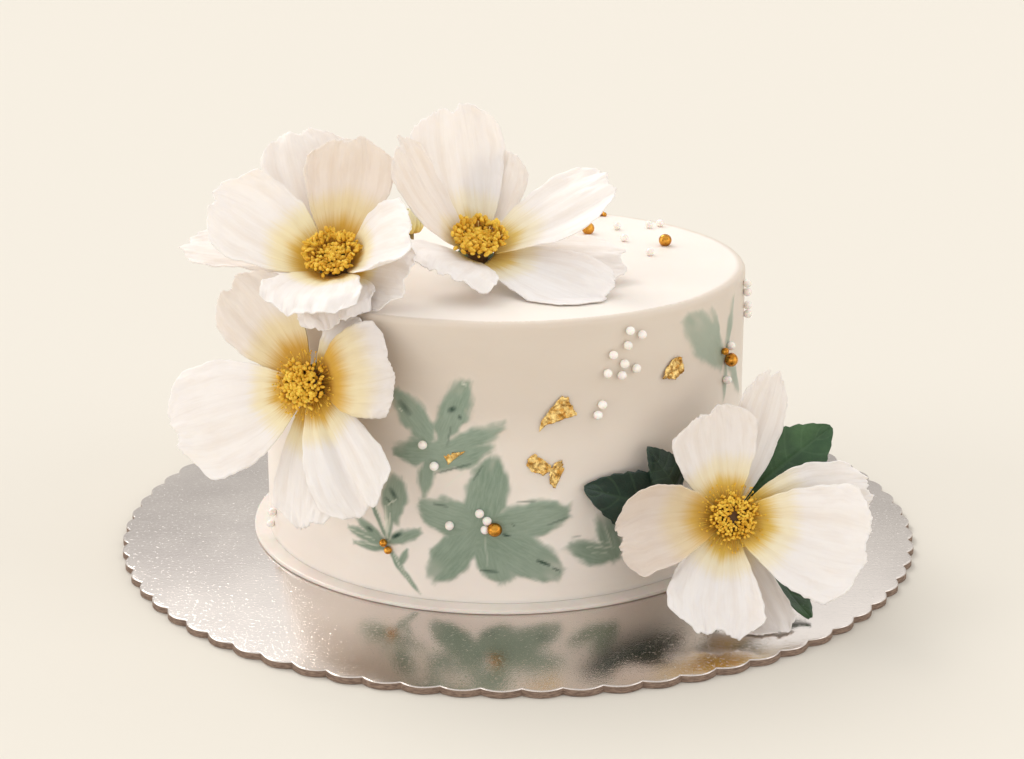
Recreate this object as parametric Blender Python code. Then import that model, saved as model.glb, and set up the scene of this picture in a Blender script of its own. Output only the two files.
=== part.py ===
# A one-tier wedding cake on its scalloped silver card. Four large white flowers, leaves, painted
# sage flowers, pearls, gold beads and gold leaf decorate it.
#
# Lengths are in millimetres, and MM turns them into Blender's metres. The cake frame has its
# origin on the cake's axis, level with the top of the card, and -Y is the front.
import math
import random

import bmesh
import bpy
import numpy as np
from mathutils import Matrix, Vector

MM = 0.001
CLEARANCE = 0.3
SHARP_ANGLE = 40

CARD_RADIUS = 150.0
CARD_THICKNESS = 2.5
SCALLOPS = 72
SCALLOP_DEPTH = 2.2
SCALLOP_STEPS = 4

CAKE_OFF_CENTRE = (-5.3, 3.3)
DISC_RADIUS = 95.9
DISC_THICKNESS = 1.2
DISC_SIDES = 60
CAKE_RADIUS = 90.0
CAKE_TOP = 101.2
CAKE_EDGE_RADIUS = 2.0
CAKE_SIDES = 60

PEARL_RADIUS = 1.75
GOLD_BEAD_RADIUS = 2.5
SMALL_BEAD_RADIUS = 1.4
BALL_SIDES = 6
BALL_RINGS = 4
BALL_CENTRE = 0.75
STROKE_RELIEF = 0.8
STROKE_COLUMNS = 2
STROKE_ROWS = 3
FLAKE_RELIEF = 0.45
STROKE_DEPTH = 1.2
FLAKE_DEPTH = 0.8

PETAL_THICKNESS = 0.7
PETAL_ROWS = 6
PETAL_COLUMNS = 6
PETAL_START = 5.5
MIDRIB_STEPS = 60
SIDE_MARGIN = 1.7
TOP_MARGIN = 0.9

LEAF_THICKNESS = 0.6
LEAF_ROWS = 7
LEAF_COLUMNS = 4
LEAF_TOOTH = 0.08
LEAF_KEEL = 0.16

BOSS_STEPS = 9
BOSS_GRAINS = 10
GRAIN_SIZE = (1.7, 1.3, 1.4)
GRAIN_SPREAD = 7.6
GRAIN_HEIGHT = 9.3
GOLDEN_ANGLE = 137.5
BOSS_PROFILE = ((0.0, -3.4), (3.8, -3.4), (3.9, 2.8), (7.8, 5.4), (8.2, 7.0), (5.8, 8.8), (0.0, 9.4))
CALYX_STEPS = 10
CALYX_LOBES = 5
CALYX_LOBE_DEPTH = 0.2
CALYX_RADIUS = 7.4
STEM_RADIUS = 2.0

# Each petal leaves the flower's centre at the angle turn, seen from the front. It rises by the
# angles rise at its claw and tip_rise at its end, and bow bends it sideways. Layer is its place
# along the flower's axis. Left, right and the two curls lift or roll its sides.
PETAL_DEFAULTS = dict(
    bend=0.9, bow=0.0, cup_tip=0.0, twist_tip=0.0, left=0.0, right=0.0, curl_left=0.0, curl_right=0.0,
    notch=0.05, notch_at=0.1, round=0.2, claw=0.24, widest=0.66, taper=0.32, waves=1.6, ruffle=1.2, phase=0.0,
)

FLOWERS = {
    "a": dict(
        centre=(-57.6, -50.0, 110.5), azimuth=-12, elevation=52, stem=9.5,
        petals=(
            dict(turn=87, length=40.7, width=32.3, rise=17, tip_rise=57, cup=26, layer=2.6, twist=6,
                 bow=-1.3, widest=0.72, taper=0.36),
            dict(turn=108.7, length=50.9, width=36, rise=20.3, tip_rise=15.5, cup=22.4, layer=-0.6, twist=8.2,
                 bow=3.9, right=1.5, taper=0.33),
            dict(turn=169.5, length=44.5, width=38, rise=29.5, tip_rise=45.6, cup=27.6, layer=1, twist=7.5,
                 bow=1.5, left=1.3, right=1, claw=0.26, widest=0.63, taper=0.42, curl_left=28),
            dict(turn=166.6, length=55.5, width=24, rise=6.7, tip_rise=-13, cup=-8.8, layer=-1.2, twist=8,
                 bow=2.7, right=2.1, widest=0.67),
            dict(turn=270.5, length=34.7, width=34, rise=41.4, tip_rise=22.9, cup=28, layer=2.1, twist=2.1,
                 bend=1.5, bow=-0.4, left=4.2, right=-0.2, widest=0.68, taper=0.23),
            dict(turn=4, length=32.9, width=32.5, rise=47, tip_rise=26.7, cup=30.2, layer=2, twist=4.2,
                 bend=1.3, bow=-4.2, left=0.6, right=0.7, widest=0.72, taper=0.29, curl_left=48),
            dict(turn=288, length=30, width=27, rise=30, tip_rise=16, cup=-1.6, layer=0.5, twist=6.8,
                 bend=1.4, bow=-2.9, left=-3, right=-2.2, widest=0.52, taper=0.5),
            dict(turn=343.1, length=29.3, width=28, rise=16.6, tip_rise=30.7, cup=9.5, layer=-1, twist=6.5,
                 bow=-4, left=1.3, widest=0.63, taper=0.33),
        ),
    ),
    "b": dict(
        centre=(-8.8, -32.0, 111.0), azimuth=5, elevation=58, stem=9.8,
        petals=(
            dict(turn=99.9, length=51.6, width=35, rise=17.5, tip_rise=52.3, cup=24.9, layer=0.4, twist=3.5,
                 bow=-1.5, left=-1.6, right=0.8, claw=0.28, widest=0.74),
            dict(turn=150, length=46, width=23, rise=38, tip_rise=67.5, cup=8, layer=1.8, twist=7.4,
                 bow=-2, left=-1, right=-2.2),
            dict(turn=79, length=37.6, width=24, rise=14.7, tip_rise=37.5, cup=17.1, layer=-1.2, twist=5,
                 bow=-4, left=0.6, widest=0.65),
            dict(turn=10.2, length=48.6, width=31, rise=25, tip_rise=27.6, cup=27.4, layer=2.1, twist=3,
                 bow=1, left=6.9, right=-0.8, claw=0.28, widest=0.69),
            dict(turn=352, length=47.2, width=31, rise=3, tip_rise=-0.6, cup=4, layer=-0.9, twist=0,
                 bow=1.1, left=3.3, right=-6.3, widest=0.74),
            dict(turn=320.9, length=49.4, width=33, rise=18, tip_rise=0.5, cup=11, layer=0.7, twist=0,
                 bend=1.4, bow=1.4, left=3.3, right=-4.3, widest=0.67),
            dict(turn=233.6, length=29, width=37.1, rise=38.8, tip_rise=32.2, cup=14, layer=1.6, twist=3,
                 bend=1.4, bow=3, left=0.1, right=-2.5),
        ),
    ),
    "c": dict(
        centre=(-65.2, -75.0, 76.0), azimuth=-22, elevation=16, stem=8.7,
        petals=(
            dict(turn=207, length=46.3, width=42, rise=4, tip_rise=20, cup=8, layer=2, twist=6.3,
                 bow=-2.1, left=-4.4, right=-1.7, claw=0.26, widest=0.7, taper=0.41),
            dict(turn=134, length=40, width=30, rise=6, tip_rise=15, cup=21, layer=-1.3, twist=3,
                 bow=0.5, left=-6),
            dict(turn=18.5, length=32.3, width=33, rise=40.2, tip_rise=-11.3, cup=13.2, layer=1, twist=-0.2,
                 bend=1.2, bow=-1.3, left=-0.1, right=-7.4, widest=0.74),
            dict(turn=277.8, length=43.5, width=29, rise=1, tip_rise=8, cup=7, layer=-1.3, twist=10,
                 bow=-2.5, widest=0.69, taper=0.35),
            dict(turn=303.5, length=43.5, width=32, rise=15, tip_rise=-5, cup=-15, layer=1.5, twist=8,
                 bow=0.5, claw=0.26, widest=0.7),
            dict(turn=46, length=25, width=24, rise=6, tip_rise=8, cup=11, layer=0, twist=4, right=-1),
        ),
    ),
    "d": dict(
        centre=(77.0, -86.0, 31.0), azimuth=4, elevation=26, stem=36.5,
        petals=(
            dict(turn=106.2, length=33.4, width=31, rise=16.6, tip_rise=25.8, cup=27.2, layer=1.2, twist=3,
                 bow=-4, left=-0.2, right=-0.8, claw=0.3, widest=0.72, taper=0.42),
            dict(turn=7, length=43.8, width=28, rise=12.9, tip_rise=0, cup=20.7, layer=-0.4, twist=11,
                 bow=1.5, left=-2.6, right=4.1, claw=0.28, widest=0.52, taper=0.5),
            dict(turn=340, length=42.7, width=41, rise=24, tip_rise=20, cup=35.8, layer=2.1, twist=4,
                 bow=1.5, left=6.1, right=0.2, claw=0.32, widest=0.74, taper=0.23),
            dict(turn=181.1, length=36.6, width=31, rise=28.2, tip_rise=0, cup=34, layer=1.9, twist=9,
                 bow=6, left=0.4, right=1.6, widest=0.74, taper=0.4, curl_left=75),
            dict(turn=249.8, length=40.5, width=33, rise=16, tip_rise=33.7, cup=26.3, layer=1.1, twist=10.6,
                 bow=4, left=-1.4, right=-0.2, widest=0.74),
            dict(turn=276.3, length=40.2, width=25, rise=-4.4, tip_rise=43, cup=7.4, layer=-1.4, twist=3.1,
                 bow=5, right=-2.9, widest=0.72),
            dict(turn=71.5, length=48, width=20, rise=7, tip_rise=8, cup=13.5, layer=-1.3, twist=12,
                 bow=-0.4, left=-1, right=3, widest=0.74, twist_tip=25),
        ),
    ),
}

# Leaves round the lowest flower, from stalk to tip in the cake frame.
LEAVES = (
    dict(base=(66, -72, 27), tip=(27, -88, 43), width=23, facing=(0.45, -0.89, 0.1), sag=1.6),
    dict(base=(60, -78, 37), tip=(48.7, -80, 54.5), width=13, facing=(0.5, -0.85, 0.15), sag=1.2),
    dict(base=(81, -73, 32), tip=(113, -69, 58), width=25, facing=(0.06, -0.9, 0.44), sag=0.8),
    dict(base=(88, -76, 22), tip=(103, -103, 1.6), width=15, facing=(0.5, -0.66, 0.56), sag=-2.0),
)

# Painted petals on the cake's side: root, tip and width. Places on the side are
# (distance round from the front, height).
STROKES = (
    ((-8.5, 28.0), (-3.3, 55.0), 14.0),
    ((-8.5, 28.5), (22.0, 34.5), 13.0),
    ((-8.5, 29.0), (19.0, 11.5), 15.0),
    ((-9.0, 29.0), (-25.5, 9.5), 13.0),
    ((-8.0, 29.5), (-29.5, 36.5), 10.0),
    ((-24.5, 60.0), (-37.0, 75.5), 9.0),
    ((-21.0, 60.0), (-13.0, 81.0), 10.0),
    ((-22.0, 56.5), (0.0, 65.5), 7.5),
    ((-24.0, 50.5), (-4.0, 59.0), 7.5),
    ((-23.0, 55.5), (-37.5, 55.0), 9.0),
    ((-25.0, 56.0), (-27.5, 39.0), 5.5),
    ((-40.0, 30.5), (-37.8, 45.0), 10.0),
    ((-42.2, 19.0), (-39.5, 33.0), 1.8),
    ((-43.0, 20.5), (-55.0, 28.0), 3.8),
    ((-43.5, 19.5), (-58.0, 23.0), 3.8),
    ((-42.5, 18.3), (-55.5, 17.8), 3.0),
    ((-41.5, 20.5), (-29.5, 26.5), 4.4),
    ((-42.3, 22.5), (-48.0, 34.5), 2.0),
    ((-41.5, 19.5), (-35.3, 9.5), 2.4),
    ((-36.2, 11.5), (-29.8, 3.6), 1.8),
    ((-36.8, 13.5), (-34.2, 19.0), 2.6),
    ((94.0, 74.5), (69.0, 96.5), 15.0),
    ((92.0, 78.0), (83.8, 96.5), 5.0),
    ((96.5, 75.5), (103.0, 96.0), 5.6),
    ((97.2, 74.5), (95.6, 59.7), 3.8),
    ((98.5, 75.0), (115.0, 57.5), 6.0),
    ((38.5, 15.0), (22.0, 22.0), 8.5),
    ((39.8, 15.0), (33.9, 32.0), 8.5),
)

# Pearls and beads on the side, as (distance round from the front, height).
SIDE_PEARLS = (
    (-18.4, 30.1), (-8.2, 35.0), (-5.7, 32.4), (-6.4, 29.2), (-27.3, 58.3), (-23.4, 51.1),
    (31.9, 68.1), (33.5, 71.5), (43.5, 96.0), (48.2, 94.0), (42.7, 91.0), (37.3, 88.4),
    (41.5, 84.8), (46.2, 82.5), (35.3, 82.2), (40.6, 80.9), (95.4, 67.5), (98.2, 79.4),
    (119.4, 97.1), (120.5, 93.5), (124.9, 87.4), (127.0, 83.6), (-110.4, 12.7), (-114.4, 6.7),
)
SIDE_GOLD_BEADS = ((-3.1, 29.5), (97.0, 74.6))
SIDE_SMALL_BEADS = ((-42.8, 20.6), (-41.0, 18.2), (93.2, 78.6), (101.2, 73.2))

# Pearls and beads on top, as (X, Y).
TOP_PEARLS = ((45.4, 49.5), (46.9, 28.5), (58.3, 52.0), (62.9, 54.6), (55.2, 5.2))
TOP_GOLD_BEADS = ((33.6, 42.6), (62.2, 21.5), (36.5, 77.5))

# Gold leaf, as outlines on the cake's side.
FLAKES = (
    ((11.8, 63.6), (12.6, 67.6), (15.7, 71.7), (19.1, 75.5), (21.3, 75.1), (24.8, 68.6), (17.9, 67.0),
     (14.0, 65.8)),
    ((7.6, 51.6), (8.1, 54.4), (10.1, 55.8), (14.1, 53.1), (16.6, 49.9), (13.5, 48.3), (10.1, 49.0)),
    ((15.6, 49.6), (17.0, 52.2), (19.7, 53.4), (20.1, 49.6), (17.5, 43.2), (15.3, 44.8)),
    ((-20.6, 55.3), (-12.7, 56.9), (-15.5, 54.7), (-18.7, 51.8)),
    ((57.7, 76.8), (59.1, 79.8), (62.3, 82.7), (65.7, 83.1), (68.1, 79.7), (68.0, 77.3), (64.2, 75.3),
     (61.6, 75.8)),
)

# The bud between the two top flowers, turned from its stem's foot to its tip.
BUD_PLACE = (-34.4, 5.0)
BUD_STEPS = 8
BUD_PROFILE = ((0.0, 0.3), (1.2, 0.3), (1.2, 9.0), (3.8, 10.6), (4.7, 13.4), (3.2, 16.4), (0.0, 18.0))


def clear_scene():
    for item in list(bpy.data.objects):
        bpy.data.objects.remove(item, do_unlink=True)


def make_material(name, colour, roughness, metallic=0.0, transmission=0.0):
    material = bpy.data.materials.new(name)
    material.use_nodes = True
    shader = material.node_tree.nodes["Principled BSDF"]
    shader.inputs["Base Color"].default_value = (*colour, 1.0)
    shader.inputs["Roughness"].default_value = roughness
    shader.inputs["Metallic"].default_value = metallic
    shader.inputs["Transmission Weight"].default_value = transmission
    return material


def make_empty(name, matrix, parent=None):
    empty = bpy.data.objects.new(name, None)
    bpy.context.scene.collection.objects.link(empty)
    empty.parent = parent
    empty.matrix_basis = matrix
    return empty


def make_object(name, bm, materials, parent=None, smooth=True):
    """Turns a bmesh in millimetres into an object in metres."""
    bmesh.ops.scale(bm, vec=(MM, MM, MM), verts=bm.verts)
    mesh = bpy.data.meshes.new(name)
    bm.to_mesh(mesh)
    bm.free()
    for material in materials:
        mesh.materials.append(material)
    if smooth:
        mesh.shade_smooth()
        mesh.set_sharp_from_angle(angle=math.radians(SHARP_ANGLE))
    item = bpy.data.objects.new(name, mesh)
    bpy.context.scene.collection.objects.link(item)
    item.parent = parent
    return item


def turned(profile, steps):
    """A closed body turned round Z from (radius, height) points that start and end on the axis."""
    bm = bmesh.new()
    verts = [bm.verts.new((radius, 0.0, height)) for radius, height in profile]
    edges = [bm.edges.new(pair) for pair in zip(verts, verts[1:])]
    bmesh.ops.spin(bm, geom=verts + edges, cent=(0, 0, 0), axis=(0, 0, 1),
                   angle=2 * math.pi, steps=steps, use_merge=True)
    bmesh.ops.remove_doubles(bm, verts=bm.verts, dist=1e-4)
    bmesh.ops.recalc_face_normals(bm, faces=bm.faces)
    return bm


def fuse(body, toppings):
    """Joins the toppings to the body with one union, applies it and removes them."""
    group = bpy.data.collections.new(body.name + "_toppings")
    bpy.context.scene.collection.children.link(group)
    for item in toppings:
        bpy.context.scene.collection.objects.unlink(item)
        group.objects.link(item)
    union = body.modifiers.new("union", "BOOLEAN")
    union.operation = "UNION"
    union.operand_type = "COLLECTION"
    union.collection = group
    union.solver = "EXACT"
    bpy.context.view_layer.update()
    evaluated = body.evaluated_get(bpy.context.evaluated_depsgraph_get())
    joined = bpy.data.meshes.new_from_object(evaluated)
    body.modifiers.clear()
    body.data = joined
    for item in toppings:
        bpy.data.objects.remove(item, do_unlink=True)
    bpy.data.collections.remove(group)


def extruded(bm, place, to_inner):
    """Gives the flat outline or grid in bm thickness, from its mapped surface down to an inner one."""
    faces = list(bm.faces)
    copies = bmesh.ops.extrude_face_region(bm, geom=faces)["geom"]
    outer = {item for item in copies if isinstance(item, bmesh.types.BMVert)}
    flat = {vertex: vertex.co.copy() for vertex in bm.verts}
    for vertex, point in flat.items():
        vertex.co = place(point) if vertex in outer else to_inner(point)
    bmesh.ops.recalc_face_normals(bm, faces=bm.faces)
    return bm


def on_side(distance, height, depth=0.0):
    """A point of the cake's side, at a distance round from the front, and so far out of it."""
    angle = distance / CAKE_RADIUS
    radius = CAKE_RADIUS + depth
    return Vector((radius * math.sin(angle), -radius * math.cos(angle), height))


def tinted(bm, index):
    for face in bm.faces:
        face.material_index = index
    return bm


def add_card(materials):
    """The round card: each scallop is one arch between two cusps."""
    bm = bmesh.new()
    steps = SCALLOPS * SCALLOP_STEPS
    rim = []
    for step in range(steps):
        angle = 2 * math.pi * step / steps
        arch = abs(math.sin(SCALLOPS * angle / 2))
        radius = CARD_RADIUS - SCALLOP_DEPTH * (1 - arch)
        rim.append(bm.verts.new((radius * math.sin(angle), -radius * math.cos(angle), 0.0)))
    bottom = bm.faces.new(rim)
    top = bmesh.ops.extrude_face_region(bm, geom=[bottom])["geom"]
    raised = [item for item in top if isinstance(item, bmesh.types.BMVert)]
    bmesh.ops.translate(bm, vec=(0, 0, CARD_THICKNESS), verts=raised)
    bmesh.ops.recalc_face_normals(bm, faces=bm.faces)
    return make_object("cake_card", bm, [materials["foil"]], smooth=False)


def add_disc(materials, cake_frame):
    low = CLEARANCE
    high = low + DISC_THICKNESS
    profile = ((0, low), (DISC_RADIUS, low), (DISC_RADIUS, high), (0, high))
    return make_object("base_disc", turned(profile, DISC_SIDES), [materials["disc"]], cake_frame)


def stroke_body(root, tip, width):
    """A painted petal: it narrows to its root, is rounded at its tip and thickest near the end."""
    bm = bmesh.new()
    bmesh.ops.create_grid(bm, x_segments=STROKE_COLUMNS, y_segments=STROKE_ROWS, size=1.0)
    along = Vector(tip) - Vector(root)
    across = Vector((-along.y, along.x)).normalized()

    def spot(point):
        s = (point.y + 1) / 2
        half = width / 2 * math.sin(math.pi * (0.08 + 0.87 * s ** 1.1)) ** 0.6
        return Vector(root) + along * s + across * (half * point.x), s

    def surface(point):
        place, s = spot(point)
        relief = STROKE_RELIEF * (0.45 + 0.55 * s) * (1.0 - 0.45 * abs(point.x))
        return on_side(place.x, place.y, relief)

    def buried(point):
        place, _ = spot(point)
        return on_side(place.x, place.y, -STROKE_DEPTH)

    return extruded(bm, surface, buried)


def flake_body(outline):
    """A scrap of gold leaf, lying on the side of the cake."""
    bm = bmesh.new()
    bm.faces.new([bm.verts.new((distance, height, 0.0)) for distance, height in outline])

    def surface(point):
        return on_side(point.x, point.y, FLAKE_RELIEF)

    def buried(point):
        return on_side(point.x, point.y, -FLAKE_DEPTH)

    return extruded(bm, surface, buried)


def ball_body(centre, radius):
    bm = bmesh.new()
    bmesh.ops.create_uvsphere(bm, u_segments=BALL_SIDES, v_segments=BALL_RINGS, radius=radius,
                              matrix=Matrix.Translation(centre))
    return bm


def add_cake(materials, cake_frame):
    low = 2 * CLEARANCE + DISC_THICKNESS
    edge = CAKE_EDGE_RADIUS
    corner = [
        (CAKE_RADIUS - edge + edge * math.cos(angle), CAKE_TOP - edge + edge * math.sin(angle))
        for angle in (0.0, math.pi / 4, math.pi / 2)
    ]
    profile = [(0.0, low), (CAKE_RADIUS, low), *corner, (0.0, CAKE_TOP)]
    slots = [materials[name] for name in ("icing", "sage", "pearl", "gold")]
    cake = make_object("cake", turned(profile, CAKE_SIDES), slots, cake_frame)

    bodies = [(stroke_body(*stroke), 1) for stroke in STROKES]
    bodies += [(flake_body(outline), 3) for outline in FLAKES]
    for kind, places, radius, index in (
        ("side", SIDE_PEARLS, PEARL_RADIUS, 2),
        ("side", SIDE_GOLD_BEADS, GOLD_BEAD_RADIUS, 3),
        ("side", SIDE_SMALL_BEADS, SMALL_BEAD_RADIUS, 3),
        ("top", TOP_PEARLS, PEARL_RADIUS, 2),
        ("top", TOP_GOLD_BEADS, GOLD_BEAD_RADIUS, 3),
    ):
        for first, second in places:
            if kind == "side":
                centre = on_side(first, second, BALL_CENTRE * radius)
            else:
                centre = Vector((first, second, CAKE_TOP + BALL_CENTRE * radius))
            bodies.append((ball_body(centre, radius), index))
    toppings = []
    for number, (body, index) in enumerate(bodies):
        toppings.append(make_object(f"topping_{number}", tinted(body, index), slots, cake_frame))
    fuse(cake, toppings)
    return cake


def flower_matrix(flower):
    """The flower's frame in the cake frame: X right, Y up and Z out along its axis."""
    azimuth = math.radians(flower["azimuth"])
    elevation = math.radians(flower["elevation"])
    out = Vector((
        math.sin(azimuth) * math.cos(elevation),
        -math.cos(azimuth) * math.cos(elevation),
        math.sin(elevation),
    ))
    right = Vector((math.cos(azimuth), math.sin(azimuth), 0.0))
    up = out.cross(right)
    matrix = Matrix((right, up, out)).transposed().to_4x4()
    matrix.translation = Vector(flower["centre"])
    return matrix


def keep_clear(points):
    """Moves points in the cake frame that would be in the cake or the card out to its surface."""
    points = points.copy()
    radius = np.hypot(points[:, 0], points[:, 1])
    from_side = CAKE_RADIUS + SIDE_MARGIN - radius
    from_top = CAKE_TOP + TOP_MARGIN - points[:, 2]
    inside = (from_side > 0) & (from_top > 0)
    by_side = inside & (from_side <= from_top)
    by_top = inside & ~by_side
    grow = np.where(by_side, (CAKE_RADIUS + SIDE_MARGIN) / np.maximum(radius, 1.0), 1.0)
    points[:, 0] *= grow
    points[:, 1] *= grow
    points[by_top, 2] = CAKE_TOP + TOP_MARGIN
    points[:, 2] = np.maximum(points[:, 2], TOP_MARGIN)
    return points


def petal_points(shape, s, t):
    """The petal's middle surface in its flower's frame. s runs from claw to tip, t from -1 to 1 across."""
    turn = math.radians(shape["turn"])
    outward = np.array((math.cos(turn), math.sin(turn), 0.0))
    side = np.array((-math.sin(turn), math.cos(turn), 0.0))
    axis = np.array((0.0, 0.0, 1.0))

    notch = shape["notch"] * np.exp(-(((t - shape["notch_at"]) / 0.22) ** 2))
    reach = 1 - shape["round"] * np.abs(t) ** 2.6 - notch
    along = s * (1 + (reach - 1) * s ** 2)

    # The midrib is an arc whose slope changes from claw to tip.
    steps = np.linspace(0, 1.15, MIDRIB_STEPS)
    slope = np.radians(shape["rise"] + (shape["tip_rise"] - shape["rise"]) * steps ** shape["bend"])
    pace = shape["length"] * (steps[1] - steps[0]) / 2
    run = np.concatenate([[0], np.cumsum(np.cos(slope[1:]) + np.cos(slope[:-1]))]) * pace
    climb = np.concatenate([[0], np.cumsum(np.sin(slope[1:]) + np.sin(slope[:-1]))]) * pace
    radius = np.interp(along, steps, run) + PETAL_START
    height = np.interp(along, steps, climb) + shape["layer"]
    angle = np.interp(along, steps, slope)
    normal = -np.sin(angle)[:, None] * outward + np.cos(angle)[:, None] * axis

    twist = np.radians(shape["twist"]) * np.minimum(1, along * 2.2)
    twist = twist + np.radians(shape["twist_tip"]) * along ** 2
    across = np.cos(twist)[:, None] * side + np.sin(twist)[:, None] * normal
    up = -np.sin(twist)[:, None] * side + np.cos(twist)[:, None] * normal

    grown = np.sin(np.pi / 2 * np.clip(along / shape["widest"], 0, 1)) ** 0.95
    past = np.clip((along - shape["widest"]) / (1.05 - shape["widest"]), 0, 1)
    half = shape["width"] / 2 * (shape["claw"] + (1 - shape["claw"]) * grown)
    half = half * (1 - shape["taper"] * past ** 2)

    # Across, the petal is an arc. Its rim ruffles.
    cup = np.radians(shape["cup"]) * (0.55 + 0.45 * np.cos(np.pi * along * 0.9))
    cup = cup + np.radians(shape["cup_tip"]) * along ** 2
    curl = shape["curl_left"] * np.clip(-t, 0, 1) ** 1.5 + shape["curl_right"] * np.clip(t, 0, 1) ** 1.5
    cup = cup + np.radians(curl) * along
    cup = np.where(np.abs(cup) < 1e-4, 1e-4, cup)
    wide = half * np.sin(t * cup) / cup + shape["bow"] * along ** 2
    lift = half * (1 - np.cos(t * cup)) / cup
    lift = lift + shape["left"] * np.clip(-t - 0.15, 0, 1) ** 1.8 * along ** 1.2
    lift = lift + shape["right"] * np.clip(t - 0.15, 0, 1) ** 1.8 * along ** 1.2
    wave = np.sin(np.pi * shape["waves"] * t + shape["phase"])
    lift = lift + shape["ruffle"] * along ** 2 * (0.35 + 0.65 * np.abs(t)) * wave
    return radius[:, None] * outward + height[:, None] * axis + wide[:, None] * across + lift[:, None] * up


def add_sheet(name, surface, columns, rows, thickness, material, parent):
    """A thin solid over a grid. It is split into triangles first, so that both faces are alike."""
    bm = bmesh.new()
    bmesh.ops.create_grid(bm, x_segments=columns, y_segments=rows, size=1.0)
    verts = list(bm.verts)
    s = np.array([(vertex.co.y + 1) / 2 for vertex in verts])
    t = np.array([vertex.co.x for vertex in verts])
    for vertex, point in zip(verts, surface(s, t)):
        vertex.co = point
    bmesh.ops.triangulate(bm, faces=bm.faces)
    item = make_object(name, bm, [material], parent)
    solid = item.modifiers.new("thickness", "SOLIDIFY")
    solid.thickness = thickness * MM
    solid.offset = 0.0
    return item


def add_petal(name, shape, frame, parent, material):
    shape = {**PETAL_DEFAULTS, **shape}
    matrix = np.array(frame)

    def surface(s, t):
        local = petal_points(shape, s, t)
        in_cake = keep_clear(local @ matrix[:3, :3].T + matrix[:3, 3])
        return (in_cake - matrix[:3, 3]) @ matrix[:3, :3]

    return add_sheet(name, surface, PETAL_COLUMNS, PETAL_ROWS, PETAL_THICKNESS, material, parent)


def add_boss(name, seed, parent, material):
    """The stamens: a button on a neck, with golden grains spread over it in a spiral."""
    rng = random.Random(seed)
    boss = make_object(name, turned(BOSS_PROFILE, BOSS_STEPS), [material], parent)
    grains = []
    for number in range(BOSS_GRAINS):
        share = (number + 0.5) / BOSS_GRAINS
        radius = GRAIN_SPREAD * math.sqrt(share)
        angle = number * math.radians(GOLDEN_ANGLE)
        height = GRAIN_HEIGHT - 0.045 * radius ** 2 + rng.uniform(-0.3, 0.3)
        grain = bmesh.new()
        bmesh.ops.create_icosphere(grain, subdivisions=1, radius=1.0)
        bmesh.ops.scale(grain, vec=GRAIN_SIZE, verts=grain.verts)
        place = Matrix.Rotation(angle, 4, "Z") @ Matrix.Translation((radius, 0, height))
        bmesh.ops.transform(grain, matrix=place, verts=grain.verts)
        grains.append(make_object(f"{name}_grain_{number}", grain, [material], parent))
    fuse(boss, grains)
    return boss


def add_calyx(name, stem, parent, material):
    """The green base under the petals, whose rim is a five-pointed star, and its stem."""
    profile = (
        (0.0, -3.8), (CALYX_RADIUS, -3.9), (3.6, -5.4), (STEM_RADIUS, -6.6),
        (STEM_RADIUS, -stem), (0.0, -stem),
    )
    bm = turned(profile, CALYX_STEPS)
    for vertex in bm.verts:
        if vertex.co.z > -4.5 and vertex.co.xy.length > 5:
            lobe = 1 + CALYX_LOBE_DEPTH * math.cos(CALYX_LOBES * math.atan2(vertex.co.y, vertex.co.x))
            vertex.co.x *= lobe
            vertex.co.y *= lobe
    return make_object(name, bm, [material], parent)


def add_flowers(materials, cake_frame):
    for number, (letter, flower) in enumerate(FLOWERS.items()):
        frame = flower_matrix(flower)
        placed = frame.copy()
        placed.translation = frame.translation * MM
        parent = make_empty(f"flower_{letter}", placed, cake_frame)
        for count, shape in enumerate(flower["petals"], 1):
            add_petal(f"flower_{letter}_petal_{count}", shape, frame, parent, materials["petal"])
        add_boss(f"flower_{letter}_stamens", number, parent, materials["stamen"])
        add_calyx(f"flower_{letter}_calyx", flower["stem"], parent, materials["calyx"])


def add_leaf(name, leaf, parent, material):
    base = np.array(leaf["base"], float)
    tip = np.array(leaf["tip"], float)
    along = tip - base
    facing = np.array(leaf["facing"], float)
    facing = facing - along * (facing @ along) / (along @ along)
    facing = facing / np.linalg.norm(facing)
    side = np.cross(facing, along / np.linalg.norm(along))

    def surface(s, t):
        outline = 0.06 + 0.94 * np.sin(np.pi * np.clip(s, 0, 1) ** 0.85) ** 0.8
        tooth = 1 + LEAF_TOOTH * np.where(np.round(s * LEAF_ROWS) % 2 == 0, 1, -1) * (np.abs(t) > 0.9)
        half = leaf["width"] / 2 * outline * tooth
        lift = LEAF_KEEL * half * np.abs(t) + leaf["sag"] * np.sin(np.pi * s) + 0.5 * np.sin(7 * s + 2 * t)
        points = base + s[:, None] * along + (half * t)[:, None] * side + lift[:, None] * facing
        return keep_clear(points)

    return add_sheet(name, surface, LEAF_COLUMNS, LEAF_ROWS, LEAF_THICKNESS, material, parent)


def add_bud(materials, cake_frame):
    bud = make_object("bud", turned(BUD_PROFILE, BUD_STEPS), [materials["petal"]], cake_frame)
    bud.location = Vector((*BUD_PLACE, CAKE_TOP)) * MM
    return bud


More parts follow.
